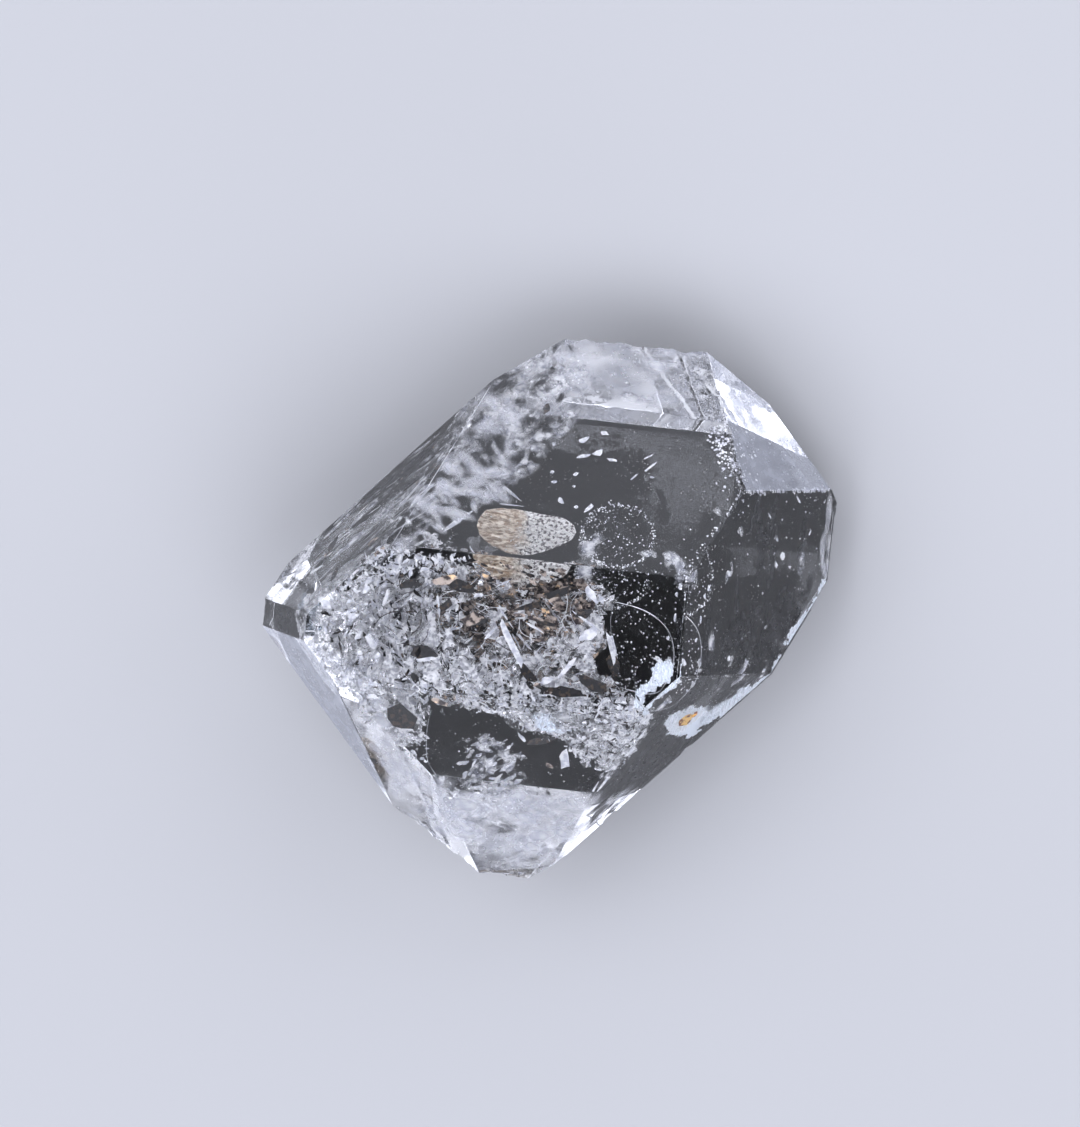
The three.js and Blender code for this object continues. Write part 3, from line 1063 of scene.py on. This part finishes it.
# %% Bright veils
FAR_LEFT_FIELD = [
    (505, 378), (555, 345), (570, 400), (562, 432), (535, 446), (520, 470), (495, 490), (470, 500),
    (440, 510), (408, 550), (440, 484), (462, 436), (482, 402),
]
SIDE_FIELD = [(700, 580), (745, 505), (800, 505), (806, 590), (764, 664), (700, 664)]
# The spots at y 350 to 400 are painted reflections under the far band.
# Each veil: x, y, length, width, angle, depth.
BRIGHT_VEILS = [
    (642, 736, 70, 15, 52, 0.3), (610, 774, 56, 13, 55, 0.3), (664, 704, 40, 12, 45, 0.4),
    (677, 565, 50, 26, -48, 0.9), (674, 560, 34, 16, -40, 1.2), (655, 555, 40, 12, -8, 0.8),
    (730, 650, 20, 6, 85, 1.4), (436, 457, 16, 11, 50, 0.5), (303, 566, 44, 26, 40, 0.6),
    (378, 516, 12, 9, 50, 0.8), (614, 353, 12, 8, 0, 0.5), (630, 361, 9, 7, 0, 0.8),
    (592, 389, 10, 7, 0, 1.6), (626, 395, 14, 10, 10, 1.8), (600, 390, 9, 7, 0, 1.6),
    (626, 382, 9, 6, 0, 1.4), (465, 745, 30, 16, 30, 2.0), (590, 545, 40, 30, 60, 3.2),
]
# The far left field and the field below the near feather are painted reflections.
# Each field: outline, how many, depths, lengths, angles, and for some the width over the length.
BRIGHT_FIELDS = [
    (FAR_LEFT_FIELD, 46, (0.8, 4.0), (30, 90), (10, 60)),
    (NEAR_FEATHER, 34, (2.2, 2.9), (10, 30), (-40, 70), (0.35, 0.7)),
    (PAINTED_FEATHER_REFLECTION, 30, (1.9, 2.7), (12, 34), (-40, 40), (0.35, 0.7)),
    (UPPER_LEFT_FIELD, 22, (0.4, 1.8), (50, 130), (34, 44), (0.06, 0.16)),
    (SIDE_FIELD, 6, (0.8, 3.0), (16, 44), (76, 96), (0.3, 0.5)),
]
chance = random.Random(41)
scattered("bright_veils", bright_veil, chance, (add_smudge, BRIGHT_VEILS), (scatter_smudges, BRIGHT_FIELDS))

# %% Milky veils: painted highlights
FAR_BAND = [(562, 352), (700, 358), (722, 424), (600, 410), (566, 402)]
NEAR_BAND = [(436, 786), (600, 798), (560, 862), (500, 870), (460, 830)]
NEAR_LEFT_FIELD = [
    (372, 690), (392, 740), (430, 780), (470, 830), (490, 868), (440, 836), (396, 792), (366, 730),
]
RIGHT_RIM = [(822, 494), (832, 494), (831, 578), (822, 580), (818, 540)]
LEFT_RIDGE = [
    (494, 388), (520, 404), (502, 440), (512, 494), (470, 512), (410, 556), (388, 560), (422, 505),
    (448, 462), (472, 422),
]
LOWER_TRIANGLE = [(570, 845), (600, 800), (634, 790), (612, 812)]
PAINTED_HIGHLIGHT_FIELDS = [
    (FAR_BAND, 14, (0.5, 2.0), (20, 60), (-25, 15)),
    (NEAR_BAND, 70, (0.3, 1.4), (20, 70), (-25, 30)),
    (NEAR_LEFT_FIELD, 60, (0.3, 1.4), (16, 54), (-60, -30)),
    (RIGHT_RIM, 12, (0.15, 0.5), (24, 50), (80, 95), (0.15, 0.3)),
    (LEFT_EDGE, 44, (0.1, 0.4), (10, 30), (-60, -30)),
    (LEFT_RIDGE, 90, (0.15, 1.0), (16, 44), (-70, 20)),
    (LOWER_TRIANGLE, 26, (0.1, 0.6), (16, 44), (38, 50), (0.12, 0.3)),
]
scattered("painted_highlight_veils", painted_highlight_veil, chance, (scatter_smudges, PAINTED_HIGHLIGHT_FIELDS))

# %% Dark veils: painted shade
LOWER_RIGHT_FIELD = [(644, 716), (676, 682), (768, 680), (704, 738), (640, 790), (596, 800)]
SIDE_LOW_FIELD = [(730, 610), (815, 584), (768, 668), (712, 668)]
LEFT_WINDOW = [(266, 606), (304, 616), (300, 636), (268, 628)]
PAINTED_SHADE_FIELDS = [
    (FAR_LEFT_FIELD, 26, (0.6, 3.0), (20, 60), (10, 60)),
    (UPPER_LEFT_FIELD, 16, (0.4, 1.6), (40, 120), (34, 44), (0.1, 0.25)),
    (SIDE_FIELD, 12, (0.6, 2.4), (40, 100), (74, 98), (0.1, 0.25)),
    (CRACKLE_LEFT, 8, (0.3, 0.8), (10, 26), ANY_WAY),
    (LOWER_RIGHT_FIELD, 26, (0.2, 1.6), (40, 100), (38, 56), (0.2, 0.4)),
    (SIDE_LOW_FIELD, 18, (0.2, 1.6), (30, 70), (50, 80), (0.25, 0.5)),
    (LOWER_TRIANGLE, 14, (0.1, 0.6), (16, 44), (38, 50), (0.12, 0.3)),
    (LEFT_WINDOW, 6, (0.1, 0.5), (24, 50), (-60, 0)),
]
scattered("painted_shade_veils", painted_shade_veil, chance, (scatter_smudges, PAINTED_SHADE_FIELDS))

# %% [markdown]
# ## Carbon
#
# Herkimer diamonds are known for black specks and brown tufts of old oil turned to carbon. They
# crowd below the brine pocket and in the crackled band. A few of the larger blots are painted shade
# instead: the shaded hollow of a crack, and gaps in the crackle.

# %% Carbon specks
# Painted shade among them: the blot at (422, 652) is the shaded hollow of a crack, and those at (377, 684)
# and (400, 716) darken gaps in the crackle.
CARBON_AND_SHADE_SPOTS = [
    (422, 652, 32, 18, -20, 0.3), (366, 637, 14, 4, -55, 0.3), (341, 649, 19, 3, -75, 0.3),
    (415, 678, 12, 6, -60, 0.3), (377, 684, 15, 8, -20, 0.3), (400, 716, 38, 28, -40, 0.35),
    (541, 741, 34, 13, 8, 1.2), (374, 761, 12, 7, -30, 0.1), (460, 586, 40, 16, -15, 0.3),
    (530, 606, 34, 7, 14, 0.3), (556, 594, 34, 10, 20, 0.3), (546, 623, 26, 5, -10, 0.3),
    (603, 700, 24, 9, 20, 1.5), (333, 544, 24, 12, 60, 0.4), (335, 574, 22, 10, 60, 0.3),
    (430, 470, 22, 7, 50, 0.5), (474, 620, 30, 13, 0, 0.3), (545, 410, 16, 10, 60, 2.4),
    (554, 362, 14, 6, 80, 0.8), (530, 685, 10, 6, -50, 0.3), (562, 692, 50, 12, -4, 0.3),
    (592, 683, 36, 15, -25, 0.3), (528, 674, 30, 9, -52, 0.2), (612, 664, 24, 14, -70, 0.3),
    (584, 614, 20, 9, 30, 0.3), (446, 606, 22, 10, 40, 0.3), (412, 584, 24, 10, 10, 0.3),
]
UNDER_POCKET = [(466, 558), (576, 572), (574, 592), (520, 602), (474, 592)]
CARBON_FIELDS = [
    (TAR_PATCH, 260, (0.7, 2.4), (3, 15), (-50, 20)),
    (UNDER_POCKET, 60, (0.3, 1.0), (3, 12), (-40, 20)),
    (CRACKLE_MIDDLE, 200, (0.6, 2.4), (2, 9), ANY_WAY),
    (CRACKLE_LEFT, 90, (0.4, 1.6), (2, 9), (-90, -40)),
    (CRACKLE_LEFT, 120, (0.4, 1.2), (6, 26), ANY_WAY, 0.5, SPLINTER),
    (LINING_LOW, 160, (0.4, 1.6), (2, 8), ANY_WAY),
    (UPPER_LEFT_FIELD, 24, (0.3, 1.2), (6, 40), (33, 45), 0.9, SPLINTER),
    (CRACKLE_LEFT, 190, (0.2, 0.8), (2, 13), ANY_WAY, 0.9, (0.15, 0.5)),
    (CRACKLE_RIM, 90, (0.2, 0.6), (2, 12), ANY_WAY, 0.9, (0.15, 0.5)),
    (LINING_LOW, 110, (0.2, 0.8), (2, 8), ANY_WAY, 0.9, (0.15, 0.5)),
]


def add_blot(body, chance, *spot):
    """A flake that faces the eye."""
    add_flake(body, chance, *spot, lean=0.2)


carbon, nodes = material("carbon")
sooty = nodes.grain(0.2).above(0.5, 0.65)
black = nodes.blend(sooty, (0.012, 0.011, 0.012, 1), (0.09, 0.06, 0.04, 1))
nodes.film(black, 0.35, Metallic=0.3, Normal=nodes.bump(nodes.grain(0.1), 0.02))
chance = random.Random(23)
scattered("carbon_specks_and_shade", carbon, chance, (add_blot, CARBON_AND_SHADE_SPOTS), (scatter_flakes, CARBON_FIELDS))

# %% [markdown]
# Streaks of the same tar as on the linings run between the specks, and go on with their run of
# random numbers.

# %% Tar streaks
TAR_SPOTS = [
    (474, 619, 28, 14, 10, 0.25), (555, 600, 15, 5, 15, 0.25), (518, 615, 15, 4, -10, 0.25),
    (534, 619, 20, 5, -12, 0.25), (440, 702, 20, 8, -22, 0.25), (536, 685, 7, 4, 30, 0.25),
    (548, 693, 9, 4, 10, 0.25), (550, 766, 10, 7, -30, 2.0), (446, 580, 30, 10, 10, 0.25),
    (578, 606, 14, 7, -60, 0.25), (373, 541, 14, 8, 40, 0.8),
]
TAR_FIELDS = [
    (TAR_PATCH, 110, (0.6, 2.0), (3, 18), (-45, 10)),
    (UNDER_POCKET, 60, (0.3, 1.0), (3, 14), (-40, 20)),
    (CRACKLE_MIDDLE, 60, (0.6, 2.0), (3, 9), (-60, 30)),
    (UPPER_LEFT_FIELD, 8, (0.3, 1.2), (3, 12), (30, 50)),
]
scattered("tar_streaks", tar, chance, (add_blot, TAR_SPOTS), (scatter_flakes, TAR_FIELDS))

# %% [markdown]
# ## The brine pocket
#
# The tan patch is a flat pocket of old sea water, lined with clay. It lies level, low in the
# crystal, and it is seen twice at once: through the far face over it, and again through the top
# face. Its rim is traced in picture points and rounded by cutting off the corners between them
# again and again.

# %% Outline of the pocket
POCKET_POINT = Vector((-0.8, 0.53, 0.88))
POCKET_NORMAL = Vector((0.19, 0, 1)).normalized()
POCKET_MIDDLE = (524, 531)
POCKET_RIM = [
    (577, 528), (566, 518), (540, 514), (512, 508), (488, 508), (478, 518), (477, 530), (484, 541),
    (500, 550), (518, 556), (540, 553), (560, 546), (574, 538),
]
pocket_middle = on_plane(*POCKET_MIDDLE, POCKET_POINT, POCKET_NORMAL)
pocket_side, pocket_up = flat_frame(POCKET_NORMAL)


def rounded(points, rounds=3, closed=False):
    """A smooth line through the points' neighbourhood, made by cutting corners."""
    for _ in range(rounds):
        ends = points[1:] + points[:1] if closed else points[1:]
        pairs = list(zip(points, ends))
        cuts = [first.lerp(second, share) for first, second in pairs for share in (0.25, 0.75)]
        points = cuts if closed else [points[0]] + cuts + [points[-1]]
    return points


pocket_rim = []
for x, y in POCKET_RIM:
    offset = on_plane(x, y, POCKET_POINT, POCKET_NORMAL) - pocket_middle
    pocket_rim.append(Vector((offset.dot(pocket_side), offset.dot(pocket_up))))
pocket_rim = rounded(pocket_rim, closed=True)


def pocket_reach(turn):
    """How far the pocket's rim lies from its middle in one direction."""
    way = Vector((math.cos(turn), math.sin(turn)))
    for first, second in zip(pocket_rim, pocket_rim[1:] + pocket_rim[:1]):
        side = second - first
        share = -way.cross(first) / (way.cross(side) or 1e-9)
        reach = way.dot(first + side * share)
        if -1e-6 <= share <= 1 + 1e-6 and reach > 0:
            return reach
    return pocket_rim[0].length


print("the pocket reaches", round(pocket_reach(0.0), 2), "mm to the right of its middle")

# %% [markdown]
# A ball is flattened and drawn out to that rim. Its left half is ribbed along its length, and the
# right half is speckled with cream and black grains.

# %% Pocket
POCKET_THICK = 0.2
POCKET_DETAIL = 6
body = bmesh.new()
bmesh.ops.create_icosphere(body, subdivisions=POCKET_DETAIL, radius=1.0)
for vertex in body.verts:
    u, v, w = vertex.co
    reach = pocket_reach(math.atan2(v, u))
    lump = noise.fractal(Vector((u * 3, v * 5, w)), 0.8, 2.0, 4)
    rib = math.sin(v * 24 + 3 * noise.noise(Vector((u * 2, v * 3, 1)))) * max(0.0, 0.3 - u)
    flat = (pocket_side * u + pocket_up * v) * reach * (1 + 0.03 * lump)
    lift = w * POCKET_THICK * (1 + 0.25 * lump) + 0.025 * rib
    vertex.co = pocket_middle + flat + POCKET_NORMAL * lift
brine, nodes = material("brine_pocket")
ribs = nodes.grain(0.09, detail=4, stretch=(0.4, 1, 1)).above(0.38, 0.6)
grains = nodes.grain(0.11, detail=4).above(0.38, 0.52)
clay = nodes.blend(ribs, (0.56, 0.42, 0.3, 1), (1.0, 0.9, 0.76, 1))
cream = nodes.blend(grains, (0.2, 0.18, 0.17, 1), (1.0, 0.98, 0.94, 1))
along_pocket = nodes.dot(nodes.place(), pocket_side) + nodes.grain(0.4) * 1.2
pocket_x = (pocket_middle + centre).dot(pocket_side)
right_half = along_pocket.above(pocket_x + 0.1, pocket_x + 0.9)
nodes.film(nodes.blend(right_half, clay, cream), 0.5, Normal=nodes.bump(ribs, 0.03))
enclosed(body, "brine_pocket", brine)

# %% [markdown]
# ## Bubbles
#
# When a crack heals, it leaves thousands of tiny bubbles where it was. They lie in sheets: a round
# veil right of the pocket, the faces of other healed cracks, and rows along the crystal's worn
# edges, where the skin is sugary with crumbs. The round veil is densest on its rim and thins out
# to the right.

# %% Beads
ball = bmesh.new()
bmesh.ops.create_icosphere(ball, subdivisions=1, radius=1.0)
BALL_CORNERS = [corner.co.copy() for corner in ball.verts]
BALL_FACES = [[corner.index for corner in face.verts] for face in ball.faces]
ball.free()
THIN_FROM, THIN_OVER = 600, 60  # where the round veil starts to thin out, and over what width
CRUMB_DEPTH = 0.05


def add_bead(body, chance, point, smallest, spread):
    """A bead at a point. Most are near the smallest radius."""
    radius = smallest + spread * chance.random() ** 2
    corners = [body.verts.new(point + corner * radius) for corner in BALL_CORNERS]
    for face in BALL_FACES:
        body.faces.new([corners[i] for i in face])


def add_round_veil(body, chance, middle, reach, count):
    """Bubbles in the pocket's plane, every second one on the rim of an oval."""
    for i in range(count):
        on_rim = i % 2 == 0
        turn = chance.uniform(0, 2 * math.pi)
        spread = chance.gauss(1.0, 0.045) if on_rim else chance.random() ** 0.6
        x = middle[0] + reach[0] * spread * math.cos(turn)
        y = middle[1] + reach[1] * spread * math.sin(turn)
        if not on_rim and chance.random() < (x - THIN_FROM) / THIN_OVER:
            continue
        point = on_plane(x, y, POCKET_POINT, POCKET_NORMAL) + POCKET_NORMAL * chance.gauss(0, 0.05)
        add_bead(body, chance, point, 0.013, 0.03)


def scatter_beads(body, chance, outline, count, depths):
    """Bubbles within an outline."""
    for x, y in scatter_points(outline, count, chance):
        depth = min(chance.uniform(*depths), 0.95 * thickness(x, y))
        add_bead(body, chance, at_depth(x, y, depth), 0.012, 0.035)


def spot_between(start, end, share):
    """The picture point at `share` of the way from one to another."""
    return between((start[0], end[0]), share), between((start[1], end[1]), share)


def add_crumbs(body, chance, start, end, count, stray):
    """Crumbs along a line, just under the skin."""
    for _ in range(count):
        x, y = spot_between(start, end, chance.random())
        x += chance.gauss(0, stray)
        y += chance.gauss(0, stray)
        add_bead(body, chance, at_depth(x, y, CRUMB_DEPTH), 0.015, 0.05)


print("each bead has", len(BALL_FACES), "faces")

# %% Fields of bubbles
# The round veil: its middle, its reach across and up, and how many bubbles.
ROUND_VEIL = ((618, 536), (36, 31), 560)
COIN_FIELD = [
    (612, 604), (640, 607), (662, 622), (680, 645), (676, 676), (644, 714), (622, 690), (608, 640),
]
DARK_FIELD = [(590, 572), (684, 582), (682, 640), (640, 608), (606, 600)]
NEAR_FIELD = [(432, 708), (500, 710), (540, 760), (600, 780), (590, 792), (440, 770)]
SIDE_SPECKS = [(690, 582), (744, 494), (828, 492), (826, 584), (766, 674), (720, 690), (684, 690)]
# Each field: outline, how many, depths.
BEAD_FIELDS = [
    (COIN_FIELD, 190, (1.2, 3.6)), (DARK_FIELD, 50, (1.0, 4.0)), (NEAR_FIELD, 60, (1.0, 4.0)),
    (SIDE_SPECKS, 260, (0.3, 3.0)), (CRACKLE_MIDDLE, 120, (0.5, 1.6)),
]
# Crumbs along worn edges: the ends of the row, how many, and how far they stray.
CRUMB_ROWS = [
    ((716, 428), (736, 474), 210, 6), ((728, 440), (744, 480), 90, 10), ((742, 492), (690, 566), 40, 1.6),
    ((746, 493), (830, 490), 130, 1.0), ((690, 566), (684, 600), 24, 2), ((300, 612), (304, 640), 8, 1.5),
]
bead_wall, nodes = material("bubble_wall")
nodes.film(nodes.blend(nodes.grain(0.6).above(0.4, 0.6), (0.7, 0.7, 0.75, 1), (1, 1, 1, 1)), 0.4)
scattered(
    "bubble_veil", bead_wall, random.Random(5),
    (add_round_veil, [ROUND_VEIL]), (scatter_beads, BEAD_FIELDS), (add_crumbs, CRUMB_ROWS),
)

# %% [markdown]
# ## The round crack
#
# One clean crack hangs like a coin in the right of the crystal. Its middle is clear and only its
# rim catches the light, as a thread. Down the crystal's left ridge a pale thread just under the
# skin is a painted glint.

# %% Threads
THREAD_SIDES = 5
COIN_NORMAL = Vector((0.35, 0.15, 1)).normalized()
# Each thread: its picture points, its depth at the first of them, and its radius.
THREADS = [
    ([(616, 602), (640, 608), (656, 617), (668, 629), (674, 645), (674, 662),
      (668, 680), (656, 697), (642, 712)], 2.4, 0.03),
    ([(614, 603), (610, 618), (611, 634), (616, 650), (618, 664)], 2.4, 0.014),
    ([(431, 710), (427, 726), (426, 744), (427, 762), (436, 775)], 3.0, 0.018),
]
# A painted glint: a pale thread just under the left ridge.
GLINT_RIDGE = ((491, 385), (380, 564))
RIDGE_STEPS = 15
RIDGE_DEPTH, RIDGE_RADIUS = 0.04, 0.013


def add_thread(body, points, radius):
    """A thin closed tube along points, narrow at its ends."""
    rings = []
    turns = [2 * math.pi * k / THREAD_SIDES for k in range(THREAD_SIDES)]
    for i, point in enumerate(points):
        ahead = points[min(i + 1, len(points) - 1)] - points[max(i - 1, 0)]
        side, up = flat_frame(ahead.normalized())
        within = 0 < i < len(points) - 1
        wide = radius * (0.6 + 0.6 * noise.noise(point * 2.5)) if within else radius * 0.2
        ring = [point + (side * math.cos(turn) + up * math.sin(turn)) * wide for turn in turns]
        rings.append([body.verts.new(place) for place in ring])
    for first, second in zip(rings, rings[1:]):
        for k in range(THREAD_SIDES):
            after = (k + 1) % THREAD_SIDES
            body.faces.new((first[k], first[after], second[after], second[k]))
    body.faces.new(rings[0][::-1])
    body.faces.new(rings[-1])


body = bmesh.new()
for line, depth, radius in THREADS:
    start = at_depth(*line[0], depth)
    add_thread(body, rounded([on_plane(x, y, start, COIN_NORMAL) for x, y in line]), radius)
spots = [spot_between(*GLINT_RIDGE, i / RIDGE_STEPS) for i in range(RIDGE_STEPS + 1)]
add_thread(body, [at_depth(*spot, RIDGE_DEPTH) for spot in spots], RIDGE_RADIUS)
enclosed(body, "coin_crack_rim_and_ridge_glint", bead_wall)

# %% [markdown]
# The healed cracks broke in small shells, one beside the other. Only their curved rims still
# show, pale where they are open and black where carbon has crept in.

# %% Shell rims
ARC_STEPS = 5


def add_arcs(body, chance, outline, count, depths):
    """Curved threads that stay within an outline."""
    placed = 0
    while placed < count:
        x, y = next(scatter_points(outline, 1, chance))
        reach, squash = chance.uniform(7, 34), chance.uniform(0.4, 1.0)
        start, sweep = chance.uniform(0, 360), chance.uniform(50, 150)
        tilt = chance.uniform(0, math.pi)
        spots = []
        for i in range(ARC_STEPS + 1):
            turn = math.radians(start + sweep * i / ARC_STEPS)
            u, v = reach * math.cos(turn), reach * squash * math.sin(turn)
            spot_x = x + u * math.cos(tilt) - v * math.sin(tilt)
            spot_y = y + u * math.sin(tilt) + v * math.cos(tilt)
            spots.append((spot_x, spot_y))
        if not all(inside_outline(outline, *spot) for spot in spots):
            continue
        depth = chance.uniform(*depths)
        line = rounded([at_depth(*spot, depth) for spot in spots], 2)
        add_thread(body, line, chance.uniform(0.01, 0.024))
        placed += 1


# Each field: outline, how many, depths.
PALE_RIMS = [(CRACKLE_LEFT, 90, (0.25, 0.9)), (CRACKLE_MIDDLE, 60, (0.3, 1.0))]
DARK_RIMS = [(CRACKLE_LEFT, 46, (0.25, 0.9)), (CRACKLE_MIDDLE, 40, (0.3, 1.0))]
chance = random.Random(23)
scattered("shell_rims", bead_wall, chance, (add_arcs, PALE_RIMS))
scattered("dark_shell_rims", carbon, chance, (add_arcs, DARK_RIMS))

# %% [markdown]
# ## Feathers
#
# Where the round crack meets the edge it frays into blue-white feathers, and a bright band runs on
# along the lower right edge. A white sheet just under the right edge further up is a painted
# highlight of that edge. They are all crumpled sheets again, of fine fibres.

# %% Feathers and bright bands
FEATHER = [
    (633, 716), (636, 696), (645, 678), (652, 664), (664, 660), (673, 666), (670, 682), (660, 698),
    (648, 712),
]
MASS = [(530, 716), (544, 713), (558, 720), (562, 732), (550, 734), (538, 731)]
STAIN_WHITE = [
    (661, 723), (669, 713), (684, 706), (699, 706), (708, 712), (703, 722), (702, 730), (706, 738),
    (697, 743), (686, 736), (670, 733),
]
EDGE_BAND = [
    (692, 712), (706, 705), (727, 697), (747, 686), (766, 676), (771, 679), (757, 696), (740, 709),
    (722, 720), (708, 723), (696, 726),
]
# A painted highlight: a white sheet where the right edge reflects the light.
PAINTED_EDGE_HIGHLIGHT = [(829, 584), (827, 594), (774, 678), (764, 676), (812, 596), (823, 580)]
FEATHERS = [
    (FEATHER, (654, 690, 0.9), (0.2, -0.3, 1), 0.035, combed, -0.9, 8),
    (MASS, (544, 724, 1.0), (0.1, -0.4, 1), 0.04, combed, -0.7, 13),
    (STAIN_WHITE, (684, 722, 0.5), (0.3, -0.2, 1), 0.05, fibres, None, 10),
    (EDGE_BAND, (732, 702, 0.3), (0.3, -0.4, 1), 0.05, fibres, None, 11),
    (PAINTED_EDGE_HIGHLIGHT, (796, 640, 0.12), faces[RIGHT][0], 0.05, fibres, -0.35, 15),
]
frost, nodes = material("blue_white_film")
nodes.film((0.95, 0.975, 1.0, 1), 0.85)
enclosed(crumpled_sheets(FEATHERS), "feathers", frost)

# %% [markdown]
# The feathers lie round a small orange stain of rust, made of two flakes.

# %% Rust stain
rust, nodes = material("rust_stain")
rusty = nodes.grain(0.2).above(0.44, 0.56)
nodes.film(nodes.blend(rusty, (0.22, 0.07, 0.03, 1), (1.0, 0.66, 0.22, 1)), 0.4)
body = bmesh.new()
add_flake(body, random.Random(2), 686, 720, 24, 17, 15, 0.18, lean=0.1)
add_flake(body, random.Random(3), 695, 714, 10, 7, 60, 0.14, lean=0.2)
enclosed(body, "rust_stain", rust)

# %% [markdown]
# ## Floor
#
# A clear stone shows the room around it more than itself. So it stands on pale paper, of a mid
# grey that the lamps bring to a pale tone.

# %% Floor
FLOOR_SIZE = 2.0
PAPER_GREY = 0.36
floor_body = bmesh.new()
bmesh.ops.create_grid(floor_body, x_segments=1, y_segments=1, size=FLOOR_SIZE)
floor = object_from(floor_body, "floor")
paper, nodes = material("pale_paper")
grey = (PAPER_GREY, PAPER_GREY, PAPER_GREY, 1)
nodes.finish(nodes.principled({"Base Color": grey, "Roughness": 0.9}))
floor.data.materials.append(paper)
floor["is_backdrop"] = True
print("floor:", floor.dimensions.to_tuple(1), "m")

# %% [markdown]
# ## Light tent
#
# The stone stands in a tent: a dark cloth with large soft lamps on it, low ones for the sparkle
# from the sides and a few higher ones, with the roof left dark. Through the broad top face one
# then looks into a deep, dark window, as one does in a real crystal. The tent is the scene's world,
# and each lamp is a soft round patch of it. Only the camera sees the grey wall behind the floor.

# %% Lamps
tent = bpy.data.worlds.new("light_tent")
bpy.context.scene.world = tent
nodes = Nodes(tent)
view = nodes.add("ShaderNodeTexCoord", output="Generated")


def heading(azimuth, elevation):
    """The direction of a compass angle and a height, both in degrees."""
    a, e = math.radians(azimuth), math.radians(elevation)
    return Vector((math.cos(a) * math.cos(e), math.sin(a) * math.cos(e), math.sin(e)))


def patch(azimuth, elevation, inner, outer):
    """1 within `inner` degrees of a direction, falling to 0 at `outer`."""
    product = nodes.dot(view, heading(azimuth, elevation))
    return product.above(math.cos(math.radians(outer)), math.cos(math.radians(inner)))


# Each lamp: its compass direction and its height in degrees, and its strength.
LAMPS = [
    (30, 8, 2.1), (60, 8, 0.9), (90, 8, 0.8), (120, 8, 1.8), (150, 8, 2.0), (180, 8, 0.9), (-90, 8, 0.8),
    (-60, 8, 3.0), (15, 30, 1.1), (45, 30, 0.8), (75, 30, 2.0), (105, 30, 0.5), (-15, 30, 0.5),
    (180, 53, 2.2), (-135, 53, 4.0), (-90, 53, 2.0), (-45, 53, 4.2), (0, 53, 1.2), (135, 53, 2.4),
    (108, 73, 0.7),
]
LAMP_INNER, LAMP_OUTER = 6, 26
TENT_CLOTH = 0.05
brightness = TENT_CLOTH
for azimuth, elevation, strength in LAMPS:
    brightness = patch(azimuth, elevation, LAMP_INNER, LAMP_OUTER) * strength + brightness
tent_colours = {"Color": (0.95, 0.98, 1.12, 1), "Strength": brightness}
wall_colours = {"Color": (0.62, 0.63, 0.66, 1), "Strength": 1.0}
tent_light = nodes.add("ShaderNodeBackground", None, tent_colours)
wall = nodes.add("ShaderNodeBackground", None, wall_colours)
seen_past = nodes.add("ShaderNodeLightPath", output="Is Camera Ray")
light = nodes.add("ShaderNodeMixShader", None, {0: seen_past, 1: tent_light, 2: wall})
nodes.add("ShaderNodeOutputWorld", None, {"Surface": light})
print("lamps:", len(LAMPS), "nodes of the tent:", len(nodes.tree.nodes))

# %% [markdown]
# ## Rules for the light
#
# Light crosses many faces before it leaves such a stone, so rays may bounce often. Light thrown
# through the stone on to the floor is left out, because it needs far more samples than it shows.

# %% Rays
RAY_BOUNCES = 32
GLOSSY_BOUNCES = 16
scene = bpy.context.scene
scene.view_settings.view_transform = "Standard"
scene.cycles.caustics_refractive = False
scene.cycles.caustics_reflective = False
scene.cycles.max_bounces = RAY_BOUNCES
scene.cycles.transmission_bounces = RAY_BOUNCES
scene.cycles.glossy_bounces = GLOSSY_BOUNCES
scene.cycles.transparent_max_bounces = RAY_BOUNCES
scene.cycles.use_denoising = True
print("a ray may bounce", scene.cycles.max_bounces, "times")

# %% [markdown]
# ## Sizes and the end
#
# The box of everything built is set beside that of the solid model, in metres, and printed in
# millimetres. The crystal and all that it holds must lie within it.

# %% Sizes
visual_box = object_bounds()
sizes = {"cad": [list(side) for side in cad_box], "visual": [list(side) for side in visual_box]}
print("visual box in mm:", [[round(v / MM, 3) for v in side] for side in visual_box])
